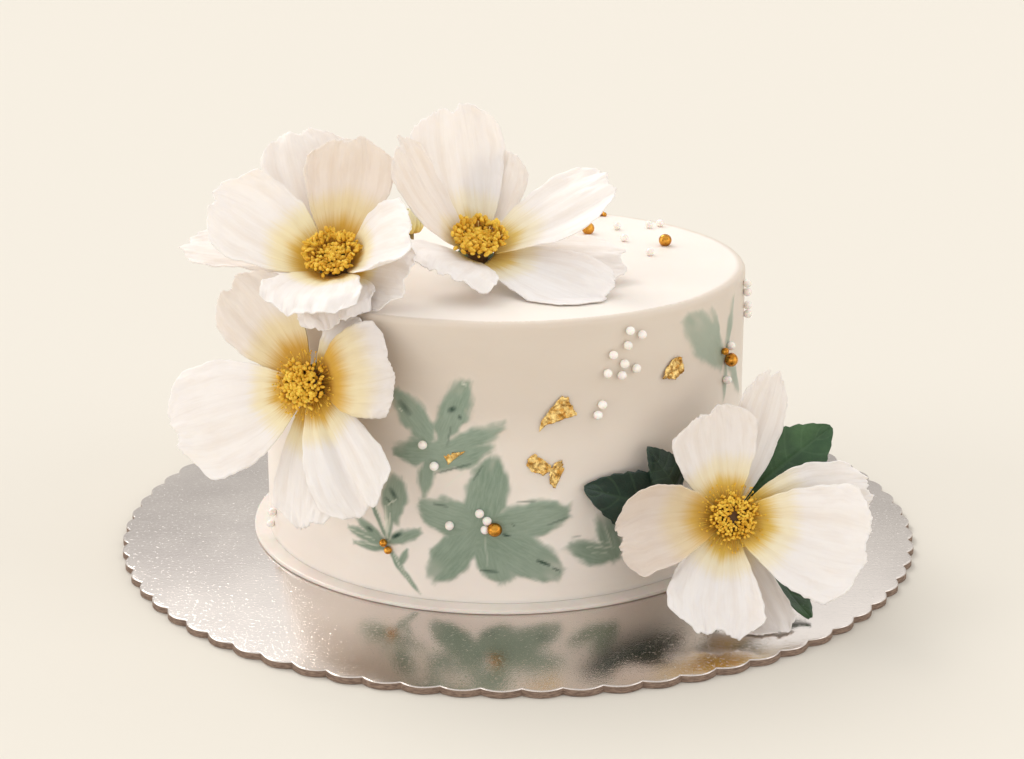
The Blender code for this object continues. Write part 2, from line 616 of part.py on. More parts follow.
def main():
    clear_scene()
    materials = {
        "foil": make_material("silver_foil", (0.62, 0.60, 0.58), 0.32, metallic=1.0),
        "disc": make_material("white_disc", (0.84, 0.80, 0.77), 0.35),
        "icing": make_material("icing", (0.86, 0.79, 0.72), 0.5),
        "sage": make_material("sage_icing", (0.21, 0.31, 0.23), 0.6),
        "pearl": make_material("sugar_pearl", (0.85, 0.82, 0.78), 0.25),
        "gold": make_material("gold", (0.72, 0.42, 0.12), 0.3, metallic=1.0),
        "petal": make_material("petal", (0.86, 0.84, 0.83), 0.55),
        "stamen": make_material("stamen", (0.62, 0.36, 0.03), 0.7),
        "calyx": make_material("calyx", (0.10, 0.17, 0.06), 0.6),
        "leaf": make_material("leaf", (0.02, 0.06, 0.03), 0.4),
    }
    add_card(materials)
    centre = Vector((*CAKE_OFF_CENTRE, CARD_THICKNESS)) * MM
    cake_frame = make_empty("cake_frame", Matrix.Translation(centre))
    add_disc(materials, cake_frame)
    add_cake(materials, cake_frame)
    add_flowers(materials, cake_frame)
    for number, leaf in enumerate(LEAVES, 1):
        add_leaf(f"leaf_{number}", leaf, cake_frame, materials["leaf"])
    add_bud(materials, cake_frame)


main()
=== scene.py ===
# Looks for the one-tier wedding cake on its scalloped silver card.
# Each CAD node keeps its place, and a finer piece stands for it here.
# Lengths in the dictionaries are millimetres in the cake's own frame: its origin is on the cake's
# axis, level with the card's top, and -Y is the front.
import math
import random

import bmesh
import bpy
import numpy as np
from mathutils import Matrix, Vector


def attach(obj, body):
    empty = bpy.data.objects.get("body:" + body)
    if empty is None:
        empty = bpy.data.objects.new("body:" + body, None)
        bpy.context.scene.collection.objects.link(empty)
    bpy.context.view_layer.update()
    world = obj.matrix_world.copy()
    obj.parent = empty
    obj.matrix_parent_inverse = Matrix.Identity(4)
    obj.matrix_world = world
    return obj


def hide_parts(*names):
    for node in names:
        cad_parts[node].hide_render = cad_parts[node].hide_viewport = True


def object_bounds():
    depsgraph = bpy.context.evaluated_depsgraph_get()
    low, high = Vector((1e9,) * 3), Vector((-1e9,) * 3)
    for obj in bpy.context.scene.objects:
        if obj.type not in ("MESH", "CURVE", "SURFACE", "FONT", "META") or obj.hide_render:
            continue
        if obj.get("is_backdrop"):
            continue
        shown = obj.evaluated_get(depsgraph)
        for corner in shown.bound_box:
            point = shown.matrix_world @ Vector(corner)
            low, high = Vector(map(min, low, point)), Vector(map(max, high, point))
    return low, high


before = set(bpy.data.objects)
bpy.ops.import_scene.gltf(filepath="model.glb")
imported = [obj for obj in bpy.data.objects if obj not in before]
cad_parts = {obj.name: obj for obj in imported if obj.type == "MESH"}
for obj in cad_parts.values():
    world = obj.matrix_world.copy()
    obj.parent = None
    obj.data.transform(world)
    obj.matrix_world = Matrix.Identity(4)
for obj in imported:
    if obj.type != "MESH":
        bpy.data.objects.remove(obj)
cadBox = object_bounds()
mm = 0.001
cakeSpot = Vector((-5.3, 3.3, 2.5))  # the cake frame's origin in the row frame

cameraView = dict(place=(0.0, -691.63, 268.79), down=0.3009, aside=0.0047, roll=-0.0032, focal=67.04, sensor=36.0)


def placed(name, data):
    made = bpy.data.objects.new(name, data)
    bpy.context.scene.collection.objects.link(made)
    return made


def addCamera():
    data = bpy.data.cameras.new("camera")
    data.lens = cameraView["focal"]
    data.sensor_width = cameraView["sensor"]
    data.clip_start = 0.01
    data.clip_end = 60
    camera = placed("camera", data)
    turn = Matrix.Rotation(-cameraView["aside"], 4, "Z")
    turn @= Matrix.Rotation(math.pi / 2 - cameraView["down"], 4, "X")
    turn @= Matrix.Rotation(cameraView["roll"], 4, "Z")
    camera.matrix_world = Matrix.Translation((Vector(cameraView["place"]) + cakeSpot) * mm) @ turn
    bpy.context.scene.camera = camera


addCamera()
print("camera placed")


def paint(red, green, blue):
    # linear colour from screen values of 0 to 255
    shares = [value / 255 for value in (red, green, blue)]
    return (*[c / 12.92 if c <= 0.04045 else ((c + 0.055) / 1.055) ** 2.4 for c in shares], 1.0)


class Nodes:
    # one node tree, with a short call for each kind of node that the looks use
    def __init__(self, tree):
        self.tree = tree

    def add(self, kind, inputs=None, **settings):
        node = self.tree.nodes.new(kind)
        for key, value in settings.items():
            setattr(node, key, value)
        for key, value in (inputs or {}).items():
            if isinstance(value, bpy.types.NodeSocket):
                self.tree.links.new(value, node.inputs[key])
            else:
                node.inputs[key].default_value = value
        return node

    def math(self, operation, first, second=0.0, third=None, clamp=False):
        inputs = {0: first, 1: second}
        if third is not None:
            inputs[2] = third
        return self.add("ShaderNodeMath", inputs, operation=operation, use_clamp=clamp).outputs[0]

    def times(self, first, second, clamp=False):
        return self.math("MULTIPLY", first, second, clamp=clamp)

    def plus(self, first, *others):
        for other in others:
            first = self.math("ADD", first, other)
        return first

    def scaled(self, value, factor, offset):
        return self.math("MULTIPLY_ADD", value, factor, offset)

    def spread(self, value, low, high, toLow=0.0, toHigh=1.0):
        inputs = {"Value": value, "From Min": low, "From Max": high, "To Min": toLow, "To Max": toHigh}
        return self.add("ShaderNodeMapRange", inputs, interpolation_type="SMOOTHSTEP").outputs["Result"]

    def mix(self, factor, first, second, blend="MIX"):
        inputs = {0: factor, 6: first, 7: second}
        return self.add("ShaderNodeMix", inputs, data_type="RGBA", blend_type=blend).outputs[2]

    def noise(self, vector, scale=1.0, detail=3.0, roughness=0.5):
        inputs = {"Vector": vector, "Scale": scale, "Detail": detail, "Roughness": roughness}
        return self.add("ShaderNodeTexNoise", inputs).outputs["Fac"]

    def bump(self, height, strength, distance, normal=None):
        inputs = {"Height": height, "Strength": strength, "Distance": distance}
        if normal:
            inputs["Normal"] = normal
        return self.add("ShaderNodeBump", inputs).outputs["Normal"]

    def stretched(self, vector, scale):
        return self.add("ShaderNodeMapping", {"Vector": vector, "Scale": scale}).outputs["Vector"]

    def attribute(self, name, output="Fac"):
        return self.add("ShaderNodeAttribute", attribute_name=name).outputs[output]

    def mottle(self, scale, detail=4.0, low=0.35, high=0.65, vector=None):
        inputs = {"Scale": scale, "Detail": detail, "Low": low, "High": high}
        inputs["Vector"] = self.spot if vector is None else vector
        return self.add("ShaderNodeGroup", inputs, node_tree=mottleTree).outputs["Mask"]

    def grain(self, vector=None, **values):
        inputs = {"Vector": self.spot if vector is None else vector, **values}
        return self.add("ShaderNodeGroup", inputs, node_tree=grainTree).outputs["Normal"]

    def feed(self, **sockets):
        for key, value in sockets.items():
            self.tree.links.new(value, self.shader.inputs[key.replace("_", " ")])


def newMaterial(name, **sockets):
    material = bpy.data.materials.new(name)
    material.use_nodes = True
    look = Nodes(material.node_tree)
    look.material = material
    look.shader = material.node_tree.nodes["Principled BSDF"]
    look.spot = look.add("ShaderNodeTexCoord").outputs["Object"]
    for key, value in sockets.items():
        look.shader.inputs[key.replace("_", " ")].default_value = value
    return look


def groupTree(name, inputs, output, kind):
    look = Nodes(bpy.data.node_groups.new(name, "ShaderNodeTree"))
    face = look.tree.interface
    face.new_socket(name="Vector", in_out="INPUT", socket_type="NodeSocketVector")
    for socket, value in inputs.items():
        face.new_socket(name=socket, in_out="INPUT", socket_type="NodeSocketFloat").default_value = value
    face.new_socket(name=output, in_out="OUTPUT", socket_type=kind)
    sink = look.tree.nodes.new("NodeGroupOutput").inputs[output]
    return look, look.tree.nodes.new("NodeGroupInput").outputs, sink


def mottleGroup():
    # soft patches: a mask from 0 to 1
    inputs = dict(Scale=20.0, Detail=4.0, Low=0.35, High=0.65)
    look, source, sink = groupTree("mottle", inputs, "Mask", "NodeSocketFloat")
    noise = look.noise(source["Vector"], source["Scale"], source["Detail"], 0.55)
    look.tree.links.new(look.spread(noise, source["Low"], source["High"]), sink)
    return look.tree


def grainGroup():
    # fine relief of two sizes, as a normal
    inputs = dict(Coarse=120.0, Fine=900.0, Share=0.4, Strength=0.2, Distance=0.0004)
    look, source, sink = groupTree("grain", inputs, "Normal", "NodeSocketVector")
    coarse, fine = [look.noise(source["Vector"], source[size]) for size in ("Coarse", "Fine")]
    height = look.add("ShaderNodeMix", {0: source["Share"], 2: coarse, 3: fine}).outputs[0]
    look.tree.links.new(look.bump(height, source["Strength"], source["Distance"]), sink)
    return look.tree


mottleTree = mottleGroup()
grainTree = grainGroup()


def twoTone(name, dark, light, patches, relief, gloss=None, **sockets):
    # two mottled colours under a fine relief. Where gloss is given, the roughness changes with them.
    look = newMaterial(name, **sockets)
    shade = look.mottle(*patches)
    look.feed(Base_Color=look.mix(shade, dark, light), Normal=look.grain(**relief))
    if gloss:
        look.feed(Roughness=look.scaled(shade, *gloss))
    return look.material


def softNoise(x, y, seed):
    # smooth values from 0 to 1 over a square lattice
    table = np.random.default_rng(seed).random((64, 64))
    x = np.asarray(x, float)
    y = np.asarray(y, float) + 0 * x
    column, row = np.floor(x).astype(int), np.floor(y).astype(int)
    u, v = x - column, y - row
    u, v = u * u * (3 - 2 * u), v * v * (3 - 2 * v)
    corner = lambda i, j: table[(column + i) % 64, (row + j) % 64]
    low = corner(0, 0) * (1 - u) + corner(1, 0) * u
    high = corner(0, 1) * (1 - u) + corner(1, 1) * u
    return low * (1 - v) + high * v


def smooth(value, low, high):
    share = np.clip((value - low) / (high - low), 0, 1)
    return share * share * (3 - 2 * share)


def finish(name, bm, materials, nodes=(), sharp=None):
    # a bmesh in cake millimetres becomes a piece at the origin, in metres
    move(bm, Matrix.Scale(mm, 4) @ Matrix.Translation(cakeSpot))
    mesh = bpy.data.meshes.new(name)
    bm.to_mesh(mesh)
    bm.free()
    for material in materials:
        mesh.materials.append(material)
    mesh.shade_smooth()
    if sharp:
        mesh.set_sharp_from_angle(angle=math.radians(sharp))
    piece = placed(name, mesh)
    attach(piece, "root")
    if nodes:
        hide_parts(*nodes)
    return piece


def addWall(piece, thickness, offset):
    wall = piece.modifiers.new("wall", "SOLIDIFY")
    wall.thickness = thickness * mm
    wall.offset = offset
    return piece


def addValues(piece, **values):
    for name, value in values.items():
        piece.data.attributes.new(name, "FLOAT", "POINT").data.foreach_set("value", value)


def move(bm, matrix, verts=None):
    bmesh.ops.transform(bm, matrix=matrix, verts=verts or bm.verts)


def lathe(bm, profile, angles):
    # a grid rolled up round the axis: its rows follow (radius, height) points and its columns the angles
    made = bmesh.ops.create_grid(bm, x_segments=len(angles) - 1, y_segments=len(profile) - 1, size=1.0)["verts"]
    for vertex in made:
        angle = angles[round((vertex.co.x + 1) / 2 * (len(angles) - 1))]
        radius, height = profile[round((vertex.co.y + 1) / 2 * (len(profile) - 1))]
        vertex.co = (radius * math.sin(angle), -radius * math.cos(angle), height)
    bmesh.ops.remove_doubles(bm, verts=made, dist=1e-4)
    bmesh.ops.recalc_face_normals(bm, faces=bm.faces)


def fullTurn(steps):
    return [2 * math.pi * step / steps for step in range(steps + 1)]


# The silver card, its foil and its brown cut edge
card = dict(radius=150.0, thickness=2.5, scallops=72, depth=2.2, steps=14, lip=0.35)


def foilMaterial():
    look = newMaterial("silver foil", Metallic=1.0)
    patches = look.mottle(11.0, 5.0, 0.3, 0.7)
    dust = look.mottle(820.0, 2.0, 0.57, 0.77)
    scratches = look.noise(look.stretched(look.spot, (30, 900, 1)))
    colour = look.mix(patches, paint(206, 199, 195), paint(222, 215, 210))
    colour = look.mix(look.times(dust, 0.35), colour, paint(244, 240, 234))
    rough = look.plus(look.scaled(patches, 0.07, 0.13), look.times(dust, 0.1))
    height = look.scaled(scratches, 0.5, look.times(dust, 0.9))
    fine = look.grain(Coarse=60.0, Fine=1500.0, Share=0.5, Strength=0.24, Distance=0.0003)
    look.feed(Base_Color=colour, Roughness=rough, Normal=look.bump(height, 0.22, 0.0002, fine))
    return look.material


def cardEdgeMaterial():
    look = newMaterial("brown card edge", Roughness=0.85)
    flat = look.stretched(look.spot, (1, 1, 6))
    fibre = look.mottle(500.0, 4.0, 0.3, 0.7, flat)
    look.feed(Base_Color=look.mix(fibre, paint(104, 84, 72), paint(150, 128, 112)),
              Normal=look.grain(flat, Coarse=400.0, Fine=1600.0, Strength=0.5, Distance=0.0003))
    return look.material


def addCard():
    bm = bmesh.new()
    total = card["scallops"] * card["steps"]
    bmesh.ops.create_circle(bm, cap_ends=True, segments=total, radius=card["radius"])
    for vertex in bm.verts:
        angle = math.atan2(vertex.co.x, -vertex.co.y)
        arch = abs(math.sin(card["scallops"] * angle / 2))
        # rounder arches than the CAD's straight steps, with the same cusps and tips
        radius = card["radius"] - card["depth"] * (1 - arch ** 0.85)
        vertex.co = Vector((math.sin(angle) * radius, -math.cos(angle) * radius, -card["thickness"]))
    bottom = bm.faces[:]
    made = bmesh.ops.extrude_face_region(bm, geom=bottom)["geom"]
    top = [item for item in made if isinstance(item, bmesh.types.BMFace)]
    bmesh.ops.translate(bm, vec=(0, 0, card["thickness"]), verts=[v for face in top for v in face.verts])
    bmesh.ops.recalc_face_normals(bm, faces=bm.faces)
    rimEdges = [edge for edge in top[0].edges]
    bmesh.ops.bevel(bm, geom=rimEdges, offset=card["lip"], offset_type="OFFSET", affect="EDGES",
                    segments=3, profile=0.5, material=-1)
    for face in bm.faces:
        face.material_index = 0 if face.calc_center_median().z > -0.9 * card["lip"] else 1
    # centre the card, which is round its own axis and not the cake's
    bmesh.ops.translate(bm, vec=-Vector((cakeSpot.x, cakeSpot.y, 0)), verts=bm.verts)
    return finish("silverCard", bm, [foilMaterial(), cardEdgeMaterial()], ["cake_card"], sharp=35)


addCard()
print("card made")


# The thin white disc under the cake
disc = dict(radius=95.9, low=0.05, high=1.6, edge=0.5, steps=192)


def addDisc():
    radius, low, high, edge = [disc[key] for key in ("radius", "low", "high", "edge")]
    profile = [(0, low), (radius - edge, low)]
    for step in range(1, 7):
        angle = -math.pi / 2 + math.pi / 2 * step / 3
        middle = low + edge if step < 4 else high - edge
        profile.append((radius - edge + edge * math.cos(angle), middle + edge * math.sin(angle)))
    profile.append((0, high))
    bm = bmesh.new()
    lathe(bm, profile, fullTurn(disc["steps"]))
    white = twoTone("white disc", paint(234, 224, 216), paint(241, 232, 224), (60.0,), dict(Strength=0.08),
                    Roughness=0.2, Transmission_Weight=0.1, Subsurface_Weight=0.3, Subsurface_Scale=0.002)
    return finish("whiteDisc", bm, [white], ["base_disc"], sharp=50)


addDisc()
print("disc made")


# The iced cake, with sage flowers painted on its side with a knife
cake = dict(radius=90.0, low=1.65, top=101.2, edge=2.0, finePart=(-64.0, 124.0), fineSteps=310, restSteps=110,
            rows=160, topRings=(86, 82, 76, 68, 58, 46, 33, 20, 8, 0), corner=0.1, uneven=0.5, fineUneven=0.16)

# painted petals: root and tip as (distance round from the front, height), and width
paintedPetals = (
    ((-8.5, 28.0), (-3.3, 55.0), 14.0), ((-8.5, 28.5), (22.0, 34.5), 13.0), ((-8.5, 29.0), (19.0, 11.5), 15.0),
    ((-9.0, 29.0), (-25.5, 9.5), 13.0), ((-8.0, 29.5), (-29.5, 36.0), 13.0),
    ((-24.5, 60.0), (-37.0, 75.5), 9.0), ((-21.0, 60.0), (-13.0, 81.0), 10.0),
    ((-22.0, 56.5), (0.0, 65.5), 7.5), ((-24.0, 50.5), (-4.0, 59.0), 7.5), ((-23.0, 55.5), (-37.5, 55.0), 9.0),
    ((-25.0, 56.0), (-27.5, 39.0), 5.5), ((-40.0, 30.5), (-37.8, 45.0), 10.0),
    ((-42.2, 19.0), (-39.5, 33.0), 1.8), ((-43.0, 20.5), (-55.0, 28.0), 3.8),
    ((-43.5, 19.5), (-58.0, 23.0), 3.8), ((-42.5, 18.3), (-55.5, 17.8), 3.0),
    ((-41.5, 20.5), (-29.5, 26.5), 4.4), ((-42.3, 22.5), (-48.0, 34.5), 2.0),
    ((-41.5, 19.5), (-35.3, 9.5), 2.4), ((-36.2, 11.5), (-29.8, 3.6), 1.8),
    ((-36.8, 13.5), (-34.2, 19.0), 2.6), ((94.0, 74.5), (69.0, 96.5), 15.0), ((92.0, 78.0), (83.8, 96.5), 5.0),
    ((96.5, 75.5), (103.0, 96.0), 5.6), ((97.2, 74.5), (95.6, 59.7), 3.8), ((98.5, 75.0), (115.0, 57.5), 6.0),
    ((38.5, 15.0), (22.0, 22.0), 8.5), ((39.8, 15.0), (33.9, 32.0), 8.5),
    ((-18.0, 27.5), (1.0, 31.0), 17.0), ((-5.0, 28.0), (1.0, 10.5), 17.0), ((-28.0, 56.0), (-15.0, 57.5), 8.5),
)

# knife marks: from, to, width and tone, where 1 is dark green and -1 is a white ridge
knifeMarks = (
    (-0.4, 27.1, 1.8, 26.5, 0.63, 1.0), (11.4, 17.2, 15.4, 15.3, 0.77, 1.0), (-8.1, 13.8, -2.4, 13.4, 0.63, 0.7),
    (16.7, 14.1, 19.0, 12.9, 0.53, 0.8), (-24.1, 37.3, -19.3, 36.6, 0.56, 0.6), (2.7, 30.7, 3.5, 30.4, 0.42, 0.8),
    (4.3, 38.7, 10.6, 38.8, 0.53, 0.5), (15.0, 30.1, 21.5, 32.3, 0.56, 0.5),
    (-6.4, 25.9, -5.8, 15.8, 0.49, -0.35), (-17.9, 70.9, -16.6, 71.7, 1.4, 0.9),
    (-14.7, 69.2, -14.5, 68.2, 0.7, 0.8), (-19.0, 58.6, -17.7, 65.2, 0.49, 0.45),
    (-13.7, 80.6, -12.5, 80.0, 0.63, -0.8), (-35.3, 72.1, -32.4, 68.7, 1.75, 0.55),
    (-35.9, 70.1, -34.6, 69.2, 0.53, -0.9), (-23.3, 48.2, -11.2, 52.3, 0.56, 0.6),
    (-20.2, 43.3, -16.2, 47.0, 0.49, -0.6), (-16.2, 47.0, -13.1, 49.7, 0.49, -0.6),
    (-10.3, 46.5, -7.1, 51.9, 0.49, 0.5), (-42.1, 33.9, -41.6, 22.4, 0.7, -1.0),
    (-40.4, 31.5, -40.9, 24.6, 0.56, -0.9), (-46.9, 35.0, -44.1, 28.8, 0.46, -0.9),
    (-44.1, 28.8, -42.4, 25.0, 0.42, -0.8), (-58.6, 22.6, -53.1, 21.8, 0.46, -0.8),
    (-53.1, 21.8, -47.0, 20.7, 0.46, -0.7), (-54.2, 18.1, -45.1, 19.0, 0.46, -0.7),
    (-39.5, 22.8, -36.6, 24.6, 1.05, 1.0), (-49.6, 24.6, -48.0, 23.9, 1.05, 0.8),
    (-39.8, 40.3, -38.1, 37.6, 1.4, 0.7), (-41.8, 36.9, -39.9, 35.0, 0.7, 0.6),
    (-41.1, 34.4, -38.0, 37.1, 0.42, -0.8), (-39.6, 17.4, -35.5, 10.6, 0.42, -0.7),
    (-35.5, 10.6, -32.6, 6.6, 0.42, -0.6), (28.8, 20.6, 39.3, 18.9, 0.42, -0.6),
    (28.1, 22.8, 38.2, 20.9, 0.35, -0.5), (30.7, 18.0, 36.0, 17.6, 0.35, -0.5),
    (23.0, 24.5, 26.6, 24.8, 0.49, 0.4), (35.1, 27.7, 38.2, 19.8, 0.46, -0.5),
)


def paintOn(distance, height):
    # how far the sage paint covers each point, its relief, its streak coordinates and its knife marks
    cover = np.zeros_like(distance)
    relief = np.zeros_like(distance)
    streak = np.stack([distance, height], 1)
    wobble = 1.8 * (softNoise(distance / 3.4 + 31, height / 3.4, 5) - 0.5)
    wobble += 0.6 * (softNoise(distance / 1.2 + 31, height / 1.2, 6) - 0.5)
    for number, (root, tip, width) in enumerate(paintedPetals):
        alongX, alongY = tip[0] - root[0], tip[1] - root[1]
        length = math.hypot(alongX, alongY)
        offX, offY = distance - root[0], height - root[1]
        run = (offX * alongX + offY * alongY) / length
        off = (offY * alongX - offX * alongY) / length
        s = np.clip(run / length, 0, 1)
        half = width / 2 * np.sin(math.pi * (0.08 + 0.87 * s ** 1.1)) ** 0.6
        inside = np.minimum(half - np.abs(off), np.minimum(run + 1.5, length + 0.5 - run))
        brush = 0.7 * (softNoise(off / 0.55 + 40, run / 7 + 10, 20 + number) - 0.5) * (0.25 + s)
        soft = min(1, width / 7)
        covered = smooth(inside + wobble * soft + brush * soft, -0.7 - 1.7 * soft, 0.6 + 1.3 * soft)
        # the strokes on the right are thinner
        covered = covered * np.interp(root[0], (20, 45, 60, 90), (1.0, 0.88, 0.88, 0.7))
        covered = covered * (1 - 0.5 * smooth(s, 0.5, 1.0) * softNoise(off / 2.2 + 9, run / 6, 40 + number) * soft)
        lip = np.exp(-((inside - 0.9) / 0.7) ** 2) * (softNoise(run / 4, off / 4 + 9, 60 + number) > 0.5)
        grooves = softNoise(off / 0.7 + 20, run / 9, 80 + number) - 0.5
        body = covered * (0.28 + 0.26 * s + 0.15 * lip + 0.07 * grooves)
        newer = covered > cover
        streak[newer, 0], streak[newer, 1] = (off + 17 * number)[newer], run[newer]
        cover = np.maximum(cover, covered)
        relief = np.maximum(relief, body)
    tone = np.zeros_like(distance)
    for x0, y0, x1, y1, width, amount in knifeMarks:
        alongX, alongY = x1 - x0, y1 - y0
        share = np.clip(((distance - x0) * alongX + (height - y0) * alongY) / (alongX ** 2 + alongY ** 2), 0, 1)
        away = np.hypot(distance - x0 - share * alongX, height - y0 - share * alongY)
        here = smooth(away, 0.95 * width, 0.25 * width) * (0.6 + 0.4 * np.sin(math.pi * share))
        stronger = here * abs(amount) > np.abs(tone)
        tone[stronger] = (here * amount)[stronger]
    relief += np.where(tone < 0, -0.35 * tone, -0.25 * tone)
    return cover, relief, streak, tone


def icingMaterial():
    look = newMaterial(
        "smooth icing", Subsurface_Weight=0.25, Subsurface_Radius=(1.0, 0.7, 0.5), Subsurface_Scale=0.003,
        Specular_IOR_Level=0.4)
    cloud = look.mottle(14.0, 4.0, 0.25, 0.75, look.stretched(look.spot, (1, 1, 2.5)))
    base = look.mix(cloud, paint(236, 227, 219), paint(243, 235, 227))
    # the attribute shade darkens the side towards its top: painted shade
    base = look.mix(look.attribute("shade"), base, paint(228, 223, 216), "MULTIPLY")
    streak = look.attribute("streak", "Vector")
    fine = look.noise(look.stretched(streak, (0.75, 0.13, 1)), 1.4, 5.0, 0.6)
    broad = look.mottle(55.0, 3.0, 0.3, 0.7)
    sage = look.mix(look.spread(fine, 0.3, 0.72), paint(122, 142, 123), paint(142, 158, 141))
    sage = look.mix(look.times(broad, 0.4), sage, paint(164, 176, 161))
    cover = look.plus(look.attribute("cover"), look.scaled(fine, 0.24, -0.12))
    mask = look.spread(cover, 0.08, 0.92)
    colour = look.mix(mask, base, sage)
    tone = look.attribute("tone")
    colour = look.mix(look.times(tone, 1.1, clamp=True), colour, paint(38, 68, 54))
    colour = look.mix(look.times(tone, -0.8, clamp=True), colour, paint(226, 226, 212))
    skin = look.grain(look.stretched(look.spot, (1, 1, 2)), Coarse=35.0, Fine=420.0, Share=0.25, Strength=0.16,
                      Distance=0.0008)
    bristles = look.bump(look.times(fine, mask), 0.12, 0.0005, skin)
    look.feed(Base_Color=colour, Roughness=look.scaled(cloud, 0.08, 0.4), Normal=bristles)
    return look.material


def addCake():
    radius, edge, top, low, corner = [cake[key] for key in ("radius", "edge", "top", "low", "corner")]
    rise = (top - edge - low) / cake["rows"]
    profile = [(0, low), (60, low), (radius - corner, low)]
    profile += [(radius, low + corner)] + [(radius, low + rise * row) for row in range(1, cake["rows"] + 1)]
    for step in range(1, 7):
        angle = math.pi / 2 * step / 6
        profile.append((radius - edge + edge * math.cos(angle), top - edge + edge * math.sin(angle)))
    profile += [(ring, top) for ring in cake["topRings"]]
    first, last = [value / radius for value in cake["finePart"]]
    angles = list(np.linspace(first, last, cake["fineSteps"] + 1))
    angles += list(np.linspace(last, first + 2 * math.pi, cake["restSteps"] + 1))[1:]
    bm = bmesh.new()
    lathe(bm, profile, angles)
    x, y, z = np.array([vertex.co for vertex in bm.verts]).T
    distance = np.arctan2(x, -y) * radius
    out = np.hypot(x, y)
    cover, relief, streak, tone = paintOn(distance, z)
    sides = (out > radius - edge - 0.1) & (z > low + 0.1)
    # the knife leaves the icing a little uneven
    uneven = cake["uneven"] * (softNoise(distance / 26 + 20, z / 40, 3) - 0.5)
    uneven += cake["fineUneven"] * (softNoise(distance / 7 + 20, z / 12, 4) - 0.5)
    fade = smooth(np.abs(distance), math.pi * radius, math.pi * radius - 20)
    grow = np.where(sides, 1 + (relief + uneven * fade - 0.2) / radius, 1.0)
    onTop = (z > top - 0.01) & (out < radius - edge)
    sink = np.where(onTop, cake["uneven"] * (softNoise(x / 21 + 20, y / 21 + 20, 8) - 0.7), 0.0)
    for vertex, scale, drop in zip(bm.verts, grow, sink):
        vertex.co.x *= scale
        vertex.co.y *= scale
        vertex.co.z += drop
    piece = finish("icedCake", bm, [icingMaterial()], ["cake"])
    sides = sides.astype(float)
    # shade is painted shade on the side, darker towards its top and nothing on the top
    addValues(piece, cover=cover * sides, tone=tone * sides, shade=sides * smooth(z, 15, 90))
    streaks = np.concatenate([streak, np.zeros((len(streak), 1))], 1)
    piece.data.attributes.new("streak", "FLOAT_VECTOR", "POINT").data.foreach_set("vector", streaks.ravel())
    return piece


addCake()
print("cake iced and painted")


# Pearls, gold beads and scraps of gold leaf
beads = dict(pearl=1.6, gold=2.5, smallGold=1.4, tinyGold=1.0, sink=0.75)
sidePearls = (
    (-18.4, 30.1), (-8.2, 35.0), (-5.7, 32.4), (-6.4, 29.2), (-27.3, 58.3), (-23.4, 51.1), (31.9, 68.1),
    (33.5, 71.5), (43.5, 96.0), (48.2, 94.0), (42.7, 91.0), (37.3, 88.4), (41.5, 84.8), (46.2, 82.5),
    (35.3, 82.2), (40.6, 80.9), (95.4, 67.5), (98.2, 79.4), (119.4, 97.1), (120.5, 93.5), (124.9, 87.4),
    (127.0, 83.6), (-110.4, 12.7), (-114.4, 6.7),
)
sideGold = ((-3.1, 29.5), (97.0, 74.6))
sideSmallGold = ((-42.8, 20.6), (-41.0, 18.2), (93.2, 78.6), (101.2, 73.2))
topPearls = ((45.4, 49.5), (46.9, 28.5), (58.3, 52.0), (62.9, 54.6), (55.2, 5.2))
topGold = ((33.6, 42.6), (62.2, 21.5))
topTinyGold = ((38.0, 73.2), (39.8, 73.6), (41.6, 73.0), (38.9, 75.0), (40.8, 75.2))


def onSide(distance, height, out):
    angle = distance / cake["radius"]
    radius = cake["radius"] + out
    return Vector((radius * math.sin(angle), -radius * math.cos(angle), height))


def goldMaterial(name, dark, light, relief, scale):
    fine = dict(Coarse=scale * 1.4, Fine=scale * 5, Share=0.35, Strength=relief, Distance=0.0005)
    return twoTone(name, dark, light, (scale, 3.0, 0.3, 0.7), fine, gloss=(0.12, 0.2), Metallic=1.0)


def addBalls(name, places, material, seed):
    rng = random.Random(seed)
    bm = bmesh.new()
    for centre, radius in places:
        made = bmesh.ops.create_icosphere(bm, subdivisions=3, radius=radius)["verts"]
        squash = Matrix.Diagonal((rng.uniform(0.96, 1.03), rng.uniform(0.96, 1.03), rng.uniform(0.95, 1.02), 1))
        move(bm, Matrix.Translation(centre) @ squash, made)
    return finish(name, bm, [material])


def addBeads():
    sink = beads["sink"]
    side = lambda spots, radius: [(onSide(*spot, sink * radius), radius) for spot in spots]
    top = lambda spots, radius: [(Vector((*spot, cake["top"] + sink * radius)), radius) for spot in spots]
    pearls = side(sidePearls, beads["pearl"]) + top(topPearls, beads["pearl"])
    gold = side(sideGold, beads["gold"]) + top(topGold, beads["gold"]) + side(sideSmallGold, beads["smallGold"])
    gold += top(topTinyGold, beads["tinyGold"])
    pearl = twoTone("sugar pearl", paint(240, 234, 227), paint(249, 245, 239), (120.0, 2.0),
                    dict(Coarse=500.0, Fine=2500.0, Strength=0.05), Roughness=0.22, Coat_Weight=0.6,
                    Coat_Roughness=0.12, Subsurface_Weight=0.3, Subsurface_Scale=0.001)
    addBalls("sugarPearls", pearls, pearl, 1)
    beadGold = goldMaterial("gold bead", paint(176, 112, 34), paint(226, 164, 70), 0.25, 300.0)
    addBalls("goldBeads", gold, beadGold, 2)


